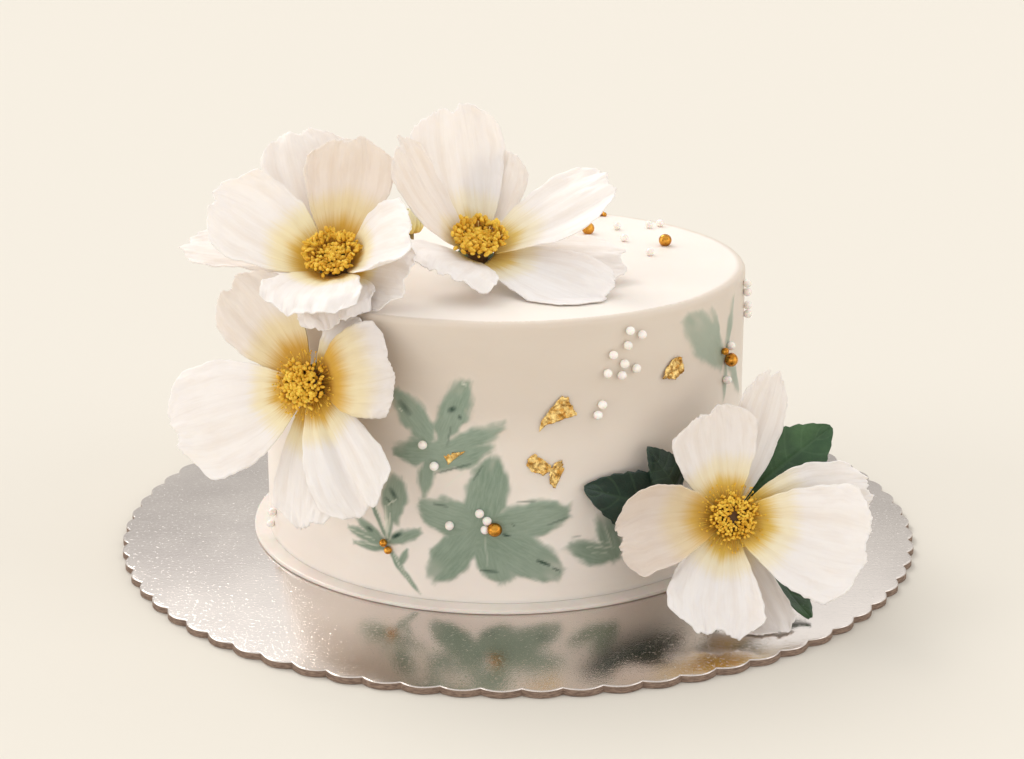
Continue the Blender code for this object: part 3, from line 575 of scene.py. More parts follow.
leafScraps = (
    ((11.8, 63.6), (12.6, 67.6), (15.7, 71.7), (19.1, 75.5), (21.3, 75.1), (24.8, 68.6), (17.9, 67.0),
     (14.0, 65.8)),
    ((7.6, 51.6), (8.1, 54.4), (10.1, 55.8), (14.1, 53.1), (16.6, 49.9), (13.5, 48.3), (10.1, 49.0)),
    ((15.6, 49.6), (17.0, 52.2), (19.7, 53.4), (20.1, 49.6), (17.5, 43.2), (15.3, 44.8)),
    ((-20.6, 55.3), (-12.7, 56.9), (-15.5, 54.7), (-18.7, 51.8)),
    ((57.7, 76.8), (59.1, 79.8), (62.3, 82.7), (65.7, 83.1), (68.1, 79.7), (68.0, 77.3), (64.2, 75.3),
     (61.6, 75.8)),
)
scrap = dict(relief=0.3, crumple=0.7, wall=0.12, cuts=5)


def addGoldLeaf():
    bm = bmesh.new()
    for outline in leafScraps:
        face = bm.faces.new([bm.verts.new((distance, height, 0.0)) for distance, height in outline])
        bmesh.ops.triangulate(bm, faces=[face])
    for _ in range(scrap["cuts"]):
        long = [edge for edge in bm.edges if edge.calc_length() > 0.45]
        bmesh.ops.subdivide_edges(bm, edges=long, cuts=1, use_grid_fill=False)
        bmesh.ops.triangulate(bm, faces=[face for face in bm.faces if len(face.verts) > 3])
    border = {vertex for edge in bm.edges if edge.is_boundary for vertex in edge.verts}
    x, y, _ = np.array([vertex.co for vertex in bm.verts]).T
    fold = softNoise(x / 1.1 + 30, y / 2.3, 11) + 0.5 * softNoise(x / 0.5 + 30, y / 0.9, 12)
    crease = np.abs(softNoise((x + y) / 1.9 + 30, (x - y) / 3.1 + 30, 13) - 0.5)
    ragged = 0.7 * (softNoise(x * 1.3 + 30, y * 1.3, 14) - 0.5)
    for vertex, wave, fine, torn in zip(bm.verts, fold, crease, ragged):
        lift = scrap["relief"] + scrap["crumple"] * (wave - 0.7) + 1.1 * fine
        shift = torn if vertex in border else 0.0
        vertex.co = onSide(vertex.co.x + shift, vertex.co.y + shift, max(0.12, lift))
    gold = goldMaterial("gold leaf", paint(188, 134, 56), paint(246, 216, 144), 0.9, 520.0)
    piece = finish("goldLeaf", bm, [gold])
    return addWall(piece, scrap["wall"], 1.0)


addBeads()
addGoldLeaf()
print("pearls, beads and gold leaf laid")


# The flowers. Each petal leaves the centre at the angle turn, seen from the front, and rises by the
# angles rise at its claw and tipRise at its end.
petalDefaults = dict(bend=0.9, left=0.0, right=0.0, notch=0.05, notchAt=0.1, round=0.2, twistTip=0.0, claw=0.24,
                     widest=0.66, taper=0.32, waves=1.6, ruffle=1.2, bow=0.0, roll=0.0, fold=1.0, curlLeft=0.0,
                     glow=1.0, shade=0.1)
petalShape = dict(start=5.5, rows=52, columns=56, wall=0.42, sideMargin=1.5, topMargin=0.75, highest=160.5,
                  folds=1.6, veins=0.16, frill=1.9, jag=0.04)


def petal(turn, length, width, rise, tipRise, cup, layer, twist, **more):
    own = dict(turn=turn, length=length, width=width, rise=rise, tipRise=tipRise, cup=cup, layer=layer, twist=twist)
    return {**petalDefaults, **own, **more}


flowers = {
    "a": dict(centre=(-57.6, -50.0, 110.5), azimuth=-12, elevation=52, stem=9.5, petals=(
        petal(87, 40.7, 32.3, 17, 57, 26, 2.6, 6, glow=1.12, shade=0.7, bow=-1.3, widest=0.72, taper=0.36),
        petal(108.7, 50.9, 36, 20.3, 15.5, 22.4, -0.6, 8.2, glow=0.6, shade=0.3, bow=3.9, right=1.5, taper=0.33),
        petal(169.5, 44.5, 38, 29.5, 45.6, 27.6, 1, 7.5, bow=1.5, left=1.3, right=1, claw=0.26, widest=0.63,
              taper=0.42, curlLeft=28),
        petal(166.6, 55.5, 24, 6.7, -13, -8.8, -1.2, 8, glow=0.6, shade=0.3, bow=2.7, right=2.1, widest=0.67),
        petal(270.5, 34.7, 34, 41.4, 22.9, 28, 2.1, 2.1, bend=1.5, bow=-0.4, left=4.2, right=-0.2, widest=0.68,
              taper=0.23, roll=2.5),
        petal(4, 32.9, 32.5, 47, 26.7, 30.2, 2, 4.2, glow=0.9, bend=1.3, bow=-4.2, left=0.6, right=0.7,
              widest=0.72, taper=0.29, curlLeft=48),
        petal(288, 30, 27, 30, 16, -1.6, 0.5, 6.8, bend=1.4, bow=-2.9, left=-3, right=-2.2, widest=0.52,
              taper=0.5, roll=2),
        petal(343.1, 29.3, 28, 16.6, 30.7, 9.5, -1, 6.5, glow=0.8, bow=-4, left=1.3, widest=0.63, taper=0.33))),
    "b": dict(centre=(-8.8, -32.0, 111.0), azimuth=5, elevation=58, stem=9.8, petals=(
        petal(99.9, 51.6, 35, 17.5, 52.3, 24.9, 0.4, 3.5, glow=1.05, shade=0.2, bow=-1.5, left=-1.6, right=0.8,
              claw=0.28, widest=0.74, fold=1.5),
        petal(150, 46, 23, 38, 67.5, 8, 1.8, 7.4, glow=0.8, shade=0.5, bow=-2, left=-1, right=-2.2),
        petal(79, 37.6, 24, 14.7, 37.5, 17.1, -1.2, 5, glow=0.8, shade=0.4, bow=-4, left=0.6, widest=0.65),
        petal(10.2, 48.6, 31, 25, 27.6, 27.4, 2.1, 3, glow=1.1, bow=1, left=6.9, right=-0.8, claw=0.28,
              widest=0.69),
        petal(352, 47.2, 31, 3, -0.6, 4, -0.9, 0, glow=0.9, bow=1.1, left=3.3, right=-6.3, widest=0.74),
        petal(320.9, 49.4, 33, 18, 0.5, 11, 0.7, 0, bend=1.4, bow=1.4, left=3.3, right=-4.3, widest=0.67),
        petal(233.6, 29, 37.1, 38.8, 32.2, 14, 1.6, 3, glow=0.6, bend=1.4, bow=3, left=0.1, right=-2.5, roll=2))),
    "c": dict(centre=(-65.2, -75.0, 76.0), azimuth=-22, elevation=16, stem=8.7, petals=(
        petal(207, 46.3, 42, 4, 20, 8, 2, 6.3, glow=0.76, bow=-2.1, left=-4.4, right=-1.7, claw=0.26, widest=0.7,
              taper=0.41, fold=1.6),
        petal(134, 40, 30, 6, 15, 21, -1.3, 3, glow=1.2, shade=0.5, bow=0.5, left=-6),
        petal(18.5, 32.3, 33, 40.2, -11.3, 13.2, 1, -0.2, glow=1.75, shade=0.4, bend=1.2, bow=-1.3, left=-0.1,
              right=-7.4, widest=0.74, roll=1.5),
        petal(277.8, 43.5, 29, 1, 8, 7, -1.3, 10, bow=-2.5, widest=0.69, taper=0.35),
        petal(303.5, 43.5, 32, 15, -5, -15, 1.5, 8, glow=0.85, bow=0.5, claw=0.26, widest=0.7, fold=2.4),
        petal(46, 25, 24, 6, 8, 11, 0, 4, right=-1))),
    "d": dict(centre=(77.0, -86.0, 31.0), azimuth=4, elevation=26, stem=36.5, petals=(
        petal(106.2, 33.4, 31, 16.6, 25.8, 27.2, 1.2, 3, glow=1.15, shade=0.3, bow=-4, left=-0.2, right=-0.8,
              claw=0.3, widest=0.72, taper=0.42, fold=1.5),
        petal(7, 43.8, 28, 12.9, 0, 20.7, -0.4, 11, glow=1.2, bow=1.5, left=-2.6, right=4.1, claw=0.28,
              widest=0.52, taper=0.5, fold=2),
        petal(340, 42.7, 41, 24, 20, 35.8, 2.1, 4, bow=1.5, left=6.1, right=0.2, claw=0.32, widest=0.74,
              taper=0.23, fold=2),
        petal(181.1, 36.6, 31, 28.2, 0, 34, 1.9, 9, glow=1.35, shade=0.85, bow=6, left=0.4, right=1.6,
              widest=0.74, taper=0.4, curlLeft=75, fold=1.3),
        petal(249.8, 40.5, 33, 16, 33.7, 26.3, 1.1, 10.6, bow=4, left=-1.4, right=-0.2, widest=0.74, fold=2),
        petal(276.3, 40.2, 25, -4.4, 43, 7.4, -1.4, 3.1, glow=0.8, shade=0.3, bow=5, right=-2.9, widest=0.72),
        petal(71.5, 48, 20, 7, 8, 13.5, -1.3, 12, glow=0.6, shade=0.3, bow=-0.4, left=-1, right=3, widest=0.74,
              twistTip=25))),
}


def flowerMatrix(flower):
    azimuth, elevation = math.radians(flower["azimuth"]), math.radians(flower["elevation"])
    out = Vector((math.sin(azimuth) * math.cos(elevation), -math.cos(azimuth) * math.cos(elevation),
                  math.sin(elevation)))
    right = Vector((math.cos(azimuth), math.sin(azimuth), 0.0))
    matrix = Matrix((right, out.cross(right), out)).transposed().to_4x4()
    matrix.translation = Vector(flower["centre"])
    return matrix


def keepClear(points):
    # petals and leaves lie on the icing and the card, never in them, and stay under the CAD's highest tip
    points = points.copy()
    side, top = cake["radius"] + petalShape["sideMargin"], cake["top"] + petalShape["topMargin"]
    radius = np.hypot(points[:, 0], points[:, 1])
    inside = (radius < side) & (points[:, 2] < top)
    bySide = inside & (side - radius <= top - points[:, 2])
    grow = np.where(bySide, side / np.maximum(radius, 1.0), 1.0)
    points[:, 0] *= grow
    points[:, 1] *= grow
    points[inside & ~bySide, 2] = top
    points[:, 2] = np.clip(points[:, 2], petalShape["topMargin"], petalShape["highest"])
    return points


def petalPoints(shape, s, t, seed):
    # s runs from claw to tip, and t from -1 to 1 across
    turn = math.radians(shape["turn"])
    outward = np.array((math.cos(turn), math.sin(turn), 0.0))
    side = np.array((-math.sin(turn), math.cos(turn), 0.0))
    axis = np.array((0.0, 0.0, 1.0))
    notch = shape["notch"] * np.exp(-(((t - shape["notchAt"]) / 0.22) ** 2))
    reach = 1 - shape["round"] * np.abs(t) ** 2.6 - notch
    for share, often, shift, more in ((1, 5, 20, 0), (0.5, 17, 30, 1), (0.35, 38, 50, 7)):
        reach += share * petalShape["jag"] * (softNoise(t * often + shift, 0, seed + more) - 0.5)
    along = s * (1 + (reach - 1) * s ** 2)

    steps = np.linspace(0, 1.15, 60)
    slope = np.radians(shape["rise"] + (shape["tipRise"] - shape["rise"]) * steps ** shape["bend"])
    pace = shape["length"] * (steps[1] - steps[0]) / 2
    run = np.concatenate([[0], np.cumsum(np.cos(slope[1:]) + np.cos(slope[:-1]))]) * pace
    climb = np.concatenate([[0], np.cumsum(np.sin(slope[1:]) + np.sin(slope[:-1]))]) * pace
    radius = np.interp(along, steps, run) + petalShape["start"]
    height = np.interp(along, steps, climb) + shape["layer"]
    angle = np.interp(along, steps, slope)
    normal = -np.sin(angle)[:, None] * outward + np.cos(angle)[:, None] * axis

    twist = np.radians(shape["twist"]) * np.minimum(1, along * 2.2)
    twist = twist + np.radians(shape["twistTip"]) * along ** 2
    across = np.cos(twist)[:, None] * side + np.sin(twist)[:, None] * normal
    up = -np.sin(twist)[:, None] * side + np.cos(twist)[:, None] * normal

    grown = np.sin(np.pi / 2 * np.clip(along / shape["widest"], 0, 1)) ** 0.95
    past = np.clip((along - shape["widest"]) / (1.05 - shape["widest"]), 0, 1)
    half = shape["width"] / 2 * (shape["claw"] + (1 - shape["claw"]) * grown)
    half = half * (1 - shape["taper"] * past ** 2)
    for share, often, more in ((0.05, 9, 2), (0.03, 27, 8)):
        half = half * (1 + share * (softNoise(along * often + 10 * np.sign(t) + 20, 0, seed + more) - 0.5))

    cup = np.radians(shape["cup"]) * (0.55 + 0.45 * np.cos(np.pi * along * 0.9))
    cup = cup + np.radians(shape["curlLeft"] * np.clip(-t, 0, 1) ** 1.5) * along
    cup = np.where(np.abs(cup) < 1e-4, 1e-4, cup)
    wide = half * np.sin(t * cup) / cup + shape["bow"] * along ** 2
    lift = half * (1 - np.cos(t * cup)) / cup
    lift = lift + shape["left"] * np.clip(-t - 0.15, 0, 1) ** 1.8 * along ** 1.2
    lift = lift + shape["right"] * np.clip(t - 0.15, 0, 1) ** 1.8 * along ** 1.2
    wave = np.sin(np.pi * shape["waves"] * t)
    lift = lift + shape["ruffle"] * along ** 2 * (0.35 + 0.65 * np.abs(t)) * wave

    # lengthwise folds, fine veins, a frilled rim and a rolled lip
    rim = np.maximum(np.abs(t), s) ** 5 * smooth(s, 0.15, 0.6)
    body = smooth(s, 0.05, 0.5)
    folds, veins, frill = [petalShape[key] for key in ("folds", "veins", "frill")]
    for amount, acrossOften, alongOften, more in (
            (shape["fold"] * folds * body, 3.1, 1.3, 3), (veins * body, 15, 2.5, 4),
            (frill * rim, 6, 8, 5), (0.45 * frill * rim, 14, 17, 6)):
        lift = lift + amount * (softNoise(t * acrossOften + 20, along * alongOften, seed + more) - 0.5)
    lift = lift - shape["roll"] * smooth(s, 0.72, 1.0) ** 1.6
    return radius[:, None] * outward + height[:, None] * axis + wide[:, None] * across + lift[:, None] * up


def silkMaterial(name, reach, deep, middle, pale, tip=paint(246, 241, 238)):
    # white silk with a yellow throat. The UV map runs across, then from claw to tip.
    look = newMaterial(
        name, Roughness=0.6, Subsurface_Weight=0.35, Subsurface_Radius=(1.0, 0.85, 0.65), Subsurface_Scale=0.0025,
        Sheen_Weight=0.08, Specular_IOR_Level=0.25)
    uv = look.add("ShaderNodeUVMap", uv_map="UVMap").outputs["UV"]
    parts = look.add("ShaderNodeSeparateXYZ", {"Vector": uv})
    veins = look.noise(look.stretched(uv, (34, 1.6, 1)), 1.0, 4.0, 0.6)
    patches = look.mottle(70.0, 4.0, 0.3, 0.7)
    middleLine = look.math("ABSOLUTE", look.math("SUBTRACT", parts.outputs["X"], 0.5))
    height = look.scaled(veins, -0.16, look.plus(parts.outputs["Y"], 0.08))
    height = look.scaled(middleLine, 0.25, height)
    share = look.math("DIVIDE", height, look.times(look.attribute("glow"), reach), clamp=True)
    ramp = look.add("ShaderNodeValToRGB", {"Fac": share})
    ramp.color_ramp.interpolation = "EASE"
    stops = ramp.color_ramp.elements
    stops[0].position, stops[0].color = 0.0, deep
    stops[1].position, stops[1].color = 0.86, tip
    for position, colour in ((0.29, middle), (0.56, pale)):
        stops.new(position).color = colour
    colour = look.mix(look.times(patches, 0.2), ramp.outputs["Color"], paint(238, 230, 226), "MULTIPLY")
    # painted shade in the silk's lengthwise pleats, weaker towards the tip
    pleatShade = look.noise(look.stretched(uv, (7.5, 1.1, 1)), 1.0, 3.0, 0.55)
    pleatShade = look.times(look.spread(pleatShade, 0.42, 0.7), look.spread(parts.outputs["Y"], 1.0, 0.7, 0.1, 0.3))
    colour = look.mix(pleatShade, colour, paint(226, 214, 203), "MULTIPLY")
    # shade greys a whole petal: painted shade on petals that lie in shade
    colour = look.mix(look.attribute("shade"), colour, paint(224, 211, 200), "MULTIPLY")
    lines = look.spread(veins, 0.52, 0.75, 0.0, 0.14)
    colour = look.mix(lines, colour, paint(214, 205, 200), "MULTIPLY")
    weave = look.grain(Coarse=240.0, Fine=1800.0, Share=0.5, Strength=0.12, Distance=0.0003)
    look.feed(Base_Color=colour, Normal=look.bump(veins, 0.3, 0.0006, weave))
    return look.material


def sheet(name, surface, columns, rows, wall, material, nodes, glow=None, shade=0.0):
    # A grid with a UV map, laid on a surface and given a thin wall. A petal's glow is how far its yellow
    # reaches, and its shade how much painted shade greys it.
    bm = bmesh.new()
    bm.loops.layers.uv.new("UVMap")
    bmesh.ops.create_grid(bm, x_segments=columns, y_segments=rows, size=1.0, calc_uvs=True)
    verts = bm.verts[:]
    s = np.array([(vertex.co.y + 1) / 2 for vertex in verts])
    t = np.array([vertex.co.x for vertex in verts])
    for vertex, point in zip(verts, surface(s, t)):
        vertex.co = point
    piece = finish(name, bm, [material], nodes)
    if glow:
        addValues(piece, glow=[glow] * len(s), shade=[shade] * len(s))
    return addWall(piece, wall, 0.0)


def addPetals(letter, flower, material):
    matrix = np.array(flowerMatrix(flower))
    for number, shape in enumerate(flower["petals"], 1):
        seed = 100 * (ord(letter) - 96) + 10 * number

        def surface(s, t):
            local = petalPoints(shape, s, t, seed)
            return keepClear(local @ matrix[:3, :3].T + matrix[:3, 3])

        sheet(f"petal_{letter}{number}", surface, petalShape["columns"], petalShape["rows"], petalShape["wall"],
              material, [f"flower_{letter}_petal_{number}"], shape["glow"], shape["shade"])


# Stamens: a button of short ones and a crown of long ones, each a stalk with a grain at its end. Two
# flowers have a fringe of thin ones round them too. A foot is a radius and a height.
stamenShape = dict(button=((0.0, -3.2), (3.7, -3.2), (3.8, 2.6), (6.2, 4.2), (6.0, 5.6), (3.4, 6.6), (0.0, 6.8)),
                   golden=math.radians(137.5), coreFoot=(0.55, 4.0), crownFoot=(4.2, 3.2), fringeFoot=(3.8, 2.6),
                   fringeRadius=(9.0, 12.0), fringeHeight=(3.6, 6.2), fringeGrain=0.3)
stamenLooks = {
    "a": dict(core=120, crown=130, coreRadius=5.4, coreHeight=7.6, crownRadius=9.2, crownHeight=9.4, grain=0.64,
              long=2.0, hole=0.0, fringe=0),
    "b": dict(core=100, crown=130, coreRadius=5.6, coreHeight=8.2, crownRadius=9.3, crownHeight=9.6, grain=0.74,
              long=1.7, hole=0.0, fringe=0),
    "c": dict(core=150, crown=70, coreRadius=6.2, coreHeight=9.2, crownRadius=8.2, crownHeight=7.8, grain=0.66,
              long=1.5, hole=0.0, fringe=90),
    "d": dict(core=210, crown=110, coreRadius=6.3, coreHeight=8.4, crownRadius=8.0, crownHeight=7.6, grain=0.5,
              long=1.6, hole=1.3, fringe=80),
}


def stamenMaterial():
    look = newMaterial("golden stamens", Roughness=0.62, Subsurface_Weight=0.15, Subsurface_Scale=0.001)
    shade = look.mottle(330.0, 3.0, 0.3, 0.7)
    tip = look.attribute("tip")
    grainColour = look.mix(shade, paint(212, 160, 26), paint(246, 206, 78))
    stalkColour = look.mix(shade, paint(160, 108, 16), paint(214, 160, 44))
    # the stalks darken to brown towards their feet: painted shade in the gaps between the stamens
    colour = look.mix(look.spread(tip, 0.0, 0.3), paint(86, 54, 12), stalkColour)
    colour = look.mix(look.spread(tip, 0.45, 0.8), colour, grainColour)
    look.feed(Base_Color=colour, Normal=look.grain(Coarse=900.0, Fine=3000.0, Strength=0.4, Distance=0.0003))
    return look.material


def around(radius, angle, height):
    return Vector((radius * math.cos(angle), radius * math.sin(angle), height))


def addStamens(letter, flower, material):
    look = stamenLooks[letter]
    rng = random.Random(ord(letter))
    bm = bmesh.new()
    bm.verts.layers.float.new("tip")
    scratch = bpy.data.meshes.new("scratch")
    lathe(bm, stamenShape["button"], fullTurn(24))

    def stamen(foot, head, grainSize, length, low=0.2, high=0.55, thick=0.24):
        lean = (head - foot).normalized()
        turn = lean.to_track_quat("Z", "Y").to_matrix().to_4x4()
        reach = (head - foot).length
        one = bmesh.new()  # a small mesh of its own is much quicker than one that grows
        tip = one.verts.layers.float.new("tip")
        stalk = bmesh.ops.create_cone(one, cap_ends=False, segments=5, radius1=thick, radius2=0.65 * thick,
                                      depth=reach)["verts"]
        move(one, Matrix.Translation((foot + head) / 2) @ turn, stalk)
        # a stalk's tip value is low at its foot, where it brings in the painted shade, and high at its head
        for vertex in stalk:
            vertex[tip] = high if (vertex.co - head).length < reach / 2 else low
        ball = bmesh.ops.create_icosphere(one, subdivisions=2, radius=grainSize)["verts"]
        bend = Matrix.Rotation(rng.uniform(-0.7, 0.7), 4, "X") @ Matrix.Rotation(rng.uniform(-0.7, 0.7), 4, "Y")
        size = Matrix.Diagonal((rng.uniform(0.8, 1.15), rng.uniform(0.8, 1.15), length * rng.uniform(0.8, 1.2), 1))
        move(one, Matrix.Translation(head) @ turn @ bend @ size, ball)
        for vertex in ball:
            vertex[tip] = rng.uniform(0.75, 1.0)
        one.to_mesh(scratch)
        one.free()
        bm.from_mesh(scratch)

    for number in range(look["core"]):
        share = math.sqrt((number + 0.5) / look["core"])
        radius = look["hole"] + (look["coreRadius"] - look["hole"]) * share
        angle = number * stamenShape["golden"] + rng.uniform(-0.2, 0.2)
        height = look["coreHeight"] * (1 - 0.12 * share ** 2) + rng.uniform(-0.8, 0.8)
        if look["hole"] and share < 0.4:
            height -= 0.8
        inward, low = stamenShape["coreFoot"]
        foot = around(inward * radius, angle, low)
        stamen(foot, around(radius, angle, height), look["grain"] * rng.uniform(0.8, 1.15), 1.25)
    for number in range(look["crown"]):
        angle = 2 * math.pi * (number + rng.uniform(-0.4, 0.4)) / look["crown"]
        radius = look["crownRadius"] * rng.uniform(0.66, 1.05)
        height = look["crownHeight"] + rng.uniform(-2.0, 0.8)
        inner, low = stamenShape["crownFoot"]
        stamen(around(inner, angle, low), around(radius, angle, height), look["grain"] * rng.uniform(0.85, 1.15),
               look["long"])
    for number in range(look["fringe"]):
        angle = 2 * math.pi * (number + rng.uniform(-0.5, 0.5)) / look["fringe"]
        radius = rng.uniform(*stamenShape["fringeRadius"])
        inner, low = stamenShape["fringeFoot"]
        head = around(radius, angle, rng.uniform(*stamenShape["fringeHeight"]))
        stamen(around(inner, angle, low), head, stamenShape["fringeGrain"], 1.4, 0.45, 0.8, 0.13)
    bpy.data.meshes.remove(scratch)
    move(bm, flowerMatrix(flower))
    return finish(f"stamens_{letter}", bm, [material], [f"flower_{letter}_stamens"])


# The green star under each flower and its stem
calyx = dict(disc=7.0, stem=2.0, foot=6.6, lobe=0.24, piece=3)


def greenMaterial(name, dark, light):
    look = newMaterial(name, Coat_Weight=0.12, Coat_Roughness=0.35)
    shade = look.mottle(85.0, 5.0, 0.3, 0.7)
    dusty = look.mottle(620.0, 2.0, 0.68, 0.78)
    colour = look.mix(shade, dark, light)
    colour = look.mix(look.times(dusty, 0.35), colour, paint(150, 170, 150))
    look.feed(Base_Color=colour, Roughness=look.scaled(shade, 0.15, 0.5),
              Normal=look.grain(Coarse=210.0, Fine=1300.0, Share=0.4, Strength=0.4, Distance=0.0006))
    return look.material


def addCalyx(letter, flower, material):
    stem = flower["stem"]
    radius, foot = calyx["stem"], calyx["foot"]
    profile = [(0.0, -3.75), (4.5, -3.8), (calyx["disc"], -3.95), (5.6, -4.7), (3.6, -5.5), (radius, -foot)]
    lengths = max(2, int((stem - foot) / calyx["piece"]))
    for step in range(1, lengths):
        profile.append((radius * (1 - 0.05 * (step % 2)), -foot - (stem - foot) * step / lengths))
    profile += [(radius, -stem + 0.1), (radius - 0.2, -stem), (0.0, -stem)]
    bm = bmesh.new()
    lathe(bm, profile, fullTurn(40))
    for vertex in bm.verts:
        if vertex.co.z > -5.0 and vertex.co.xy.length > 4:
            lobe = 1 + calyx["lobe"] * abs(math.cos(2.5 * math.atan2(vertex.co.y, vertex.co.x))) ** 1.5
            vertex.co.x *= lobe
            vertex.co.y *= lobe
    move(bm, flowerMatrix(flower))
    return finish(f"calyx_{letter}", bm, [material], [f"flower_{letter}_calyx"], sharp=60)


throat = {
    "a": dict(reach=0.66, deep=paint(206, 150, 30), middle=paint(226, 182, 72), pale=paint(246, 232, 192)),
    "b": dict(reach=0.52, deep=paint(220, 174, 62), middle=paint(236, 204, 118), pale=paint(246, 236, 210)),
    "c": dict(reach=0.64, deep=paint(194, 138, 28), middle=paint(218, 172, 68), pale=paint(245, 231, 194)),
    "d": dict(reach=0.60, deep=paint(208, 158, 40), middle=paint(230, 192, 92), pale=paint(246, 234, 204)),
}


def addFlowers():
    golden = stamenMaterial()
    green = greenMaterial("calyx green", paint(42, 62, 26), paint(84, 108, 52))
    for letter, flower in flowers.items():
        addPetals(letter, flower, silkMaterial(f"silk petal {letter}", **throat[letter]))
        addStamens(letter, flower, golden)
        addCalyx(letter, flower, green)
        print("flower", letter, "made")


addFlowers()


# The dark leaves round the lowest flower, from stalk to tip
leaves = (
    dict(base=(66, -72, 27), tip=(27, -88, 43), width=23, facing=(0.45, -0.89, 0.1), sag=1.6),
    dict(base=(60, -78, 37), tip=(48.7, -80, 54.5), width=13, facing=(0.5, -0.85, 0.15), sag=1.2),
    dict(base=(81, -73, 32), tip=(113, -69, 58), width=25, facing=(0.06, -0.9, 0.44), sag=0.8),
    dict(base=(88, -76, 22), tip=(103, -103, 1.6), width=15, facing=(0.5, -0.66, 0.56), sag=-2.0),
)
leafShape = dict(rows=52, columns=26, wall=0.4, teeth=11, vein=0.5)


def leafPoints(leaf, s, t):
    base, tip = np.array(leaf["base"], float), np.array(leaf["tip"], float)
    along = tip - base
    facing = np.array(leaf["facing"], float)
    facing = facing - along * (facing @ along) / (along @ along)
    facing = facing / np.linalg.norm(facing)
    side = np.cross(facing, along / np.linalg.norm(along))
    outline = 0.06 + 0.94 * np.sin(np.pi * np.clip(s, 0, 1) ** 0.85) ** 0.8
    saw = (s * leafShape["teeth"]) % 1.0
    tooth = 1 + (0.11 * saw - 0.05) * np.abs(t) ** 6
    half = leaf["width"] / 2 * outline * tooth
    # veins sweep from the midrib towards the tip
    branch = (s * leafShape["teeth"] * 0.6 - np.abs(t) * 1.1) % 1.0
    vein = np.exp(-((branch - 0.5) / 0.11) ** 2) * (1 - np.abs(t) ** 2) * smooth(np.abs(t), 0.02, 0.12)
    rib = np.exp(-(t / 0.05) ** 2)
    lift = 0.16 * half * np.abs(t) + leaf["sag"] * np.sin(np.pi * s) + 0.5 * np.sin(7 * s + 2 * t)
    lift = lift - leafShape["vein"] * (0.45 * vein + 0.7 * rib * (1 - 0.5 * s))
    lift = lift + 0.9 * (softNoise(s * 5 + 20, t * 2 + 20, int(leaf["width"])) - 0.5) * np.abs(t)
    points = base + s[:, None] * along + (half * t)[:, None] * side + lift[:, None] * facing
    return keepClear(points)


def leafMaterial(name, dark, light):
    look = newMaterial(name, Coat_Weight=0.15, Coat_Roughness=0.3, Specular_IOR_Level=0.4)
    uv = look.add("ShaderNodeUVMap", uv_map="UVMap").outputs["UV"]
    parts = look.add("ShaderNodeSeparateXYZ", {"Vector": uv})
    across = look.math("ABSOLUTE", look.scaled(parts.outputs["X"], 2.0, -1.0))
    branch = look.scaled(parts.outputs["Y"], 0.6 * leafShape["teeth"], look.times(across, -1.1))
    branch = look.math("ABSOLUTE", look.math("SUBTRACT", look.math("FRACT", branch), 0.5))
    vein = look.spread(branch, 0.1, 0.02)
    rib = look.spread(across, 0.07, 0.02)
    lines = look.math("MAXIMUM", vein, rib)
    shade = look.mottle(90.0, 5.0, 0.3, 0.7)
    scuffs = look.mottle(520.0, 3.0, 0.7, 0.8)
    colour = look.mix(shade, dark, light)
    colour = look.mix(look.times(lines, 0.16), colour, paint(96, 128, 92))
    colour = look.mix(look.times(scuffs, 0.4), colour, paint(150, 172, 160))
    look.feed(Base_Color=colour, Roughness=look.scaled(shade, 0.15, 0.36),
              Normal=look.grain(Coarse=170.0, Fine=1500.0, Share=0.35, Strength=0.7, Distance=0.0008))
    return look.material


def addLeaves():
    tones = {1: (paint(22, 42, 36), paint(40, 66, 54)), 2: (paint(26, 44, 36), paint(44, 68, 54)),
             3: (paint(40, 74, 44), paint(66, 102, 62)), 4: (paint(30, 56, 34), paint(52, 84, 50))}
    for number, leaf in enumerate(leaves, 1):
        material = leafMaterial(f"leaf green {number}", *tones[number])
        sheet(f"leaf_{number}_green", lambda s, t: leafPoints(leaf, s, t), leafShape["columns"], leafShape["rows"],
              leafShape["wall"], material, [f"leaf_{number}"])


addLeaves()
print("leaves made")


# The small bud between the two upper flowers: wrapped petals on a green cup and stem
bud = dict(spot=(-34.4, 5.0), petals=6, foot=0.3, cupLow=8.6, cupHigh=11.2, tip=18.4, belly=4.9,
           columns=16, rows=20, wall=0.3)


def addBud():
    green = greenMaterial("bud green", paint(96, 84, 30), paint(160, 130, 62))
    silk = silkMaterial("bud silk", reach=0.9, deep=paint(206, 150, 50), middle=paint(240, 210, 116),
                        pale=paint(248, 232, 164), tip=paint(248, 236, 190))
    top = cake["top"]
    profile = [(0.0, bud["foot"]), (1.2, bud["foot"]), (1.15, 3.0), (1.2, bud["cupLow"]), (2.4, 9.3), (3.5, 10.3),
               (3.7, bud["cupHigh"]), (3.2, bud["cupHigh"] - 0.2), (0.0, bud["cupHigh"] - 0.6)]
    bm = bmesh.new()
    lathe(bm, profile, fullTurn(32))
    bmesh.ops.translate(bm, vec=(*bud["spot"], top), verts=bm.verts)
    finish("budStem", bm, [green], ["bud"], sharp=60)
    for number in range(bud["petals"]):
        inner = number % 2

        def surface(s, t):
            turn = 2 * math.pi * number / bud["petals"] + 0.75 * t + 0.5 * s
            height = bud["cupLow"] + 0.8 + (bud["tip"] - bud["cupLow"] - 1.0 - 0.5 * inner) * s
            height = height - 1.1 * s ** 3 * np.abs(t) ** 2
            swell = np.sin(np.pi * (0.22 + 0.74 * s)) ** 0.8
            radius = (bud["belly"] - 0.5 * inner) * swell + 0.2 * t + 0.15 * np.sin(9 * t + 3 * s)
            x = bud["spot"][0] + radius * np.cos(turn)
            y = bud["spot"][1] + radius * np.sin(turn)
            return np.stack([x, y, top + height], 1)

        sheet(f"budPetal_{number + 1}", surface, bud["columns"], bud["rows"], bud["wall"], silk,
              ["bud"], glow=1.0)


addBud()
print("bud made")


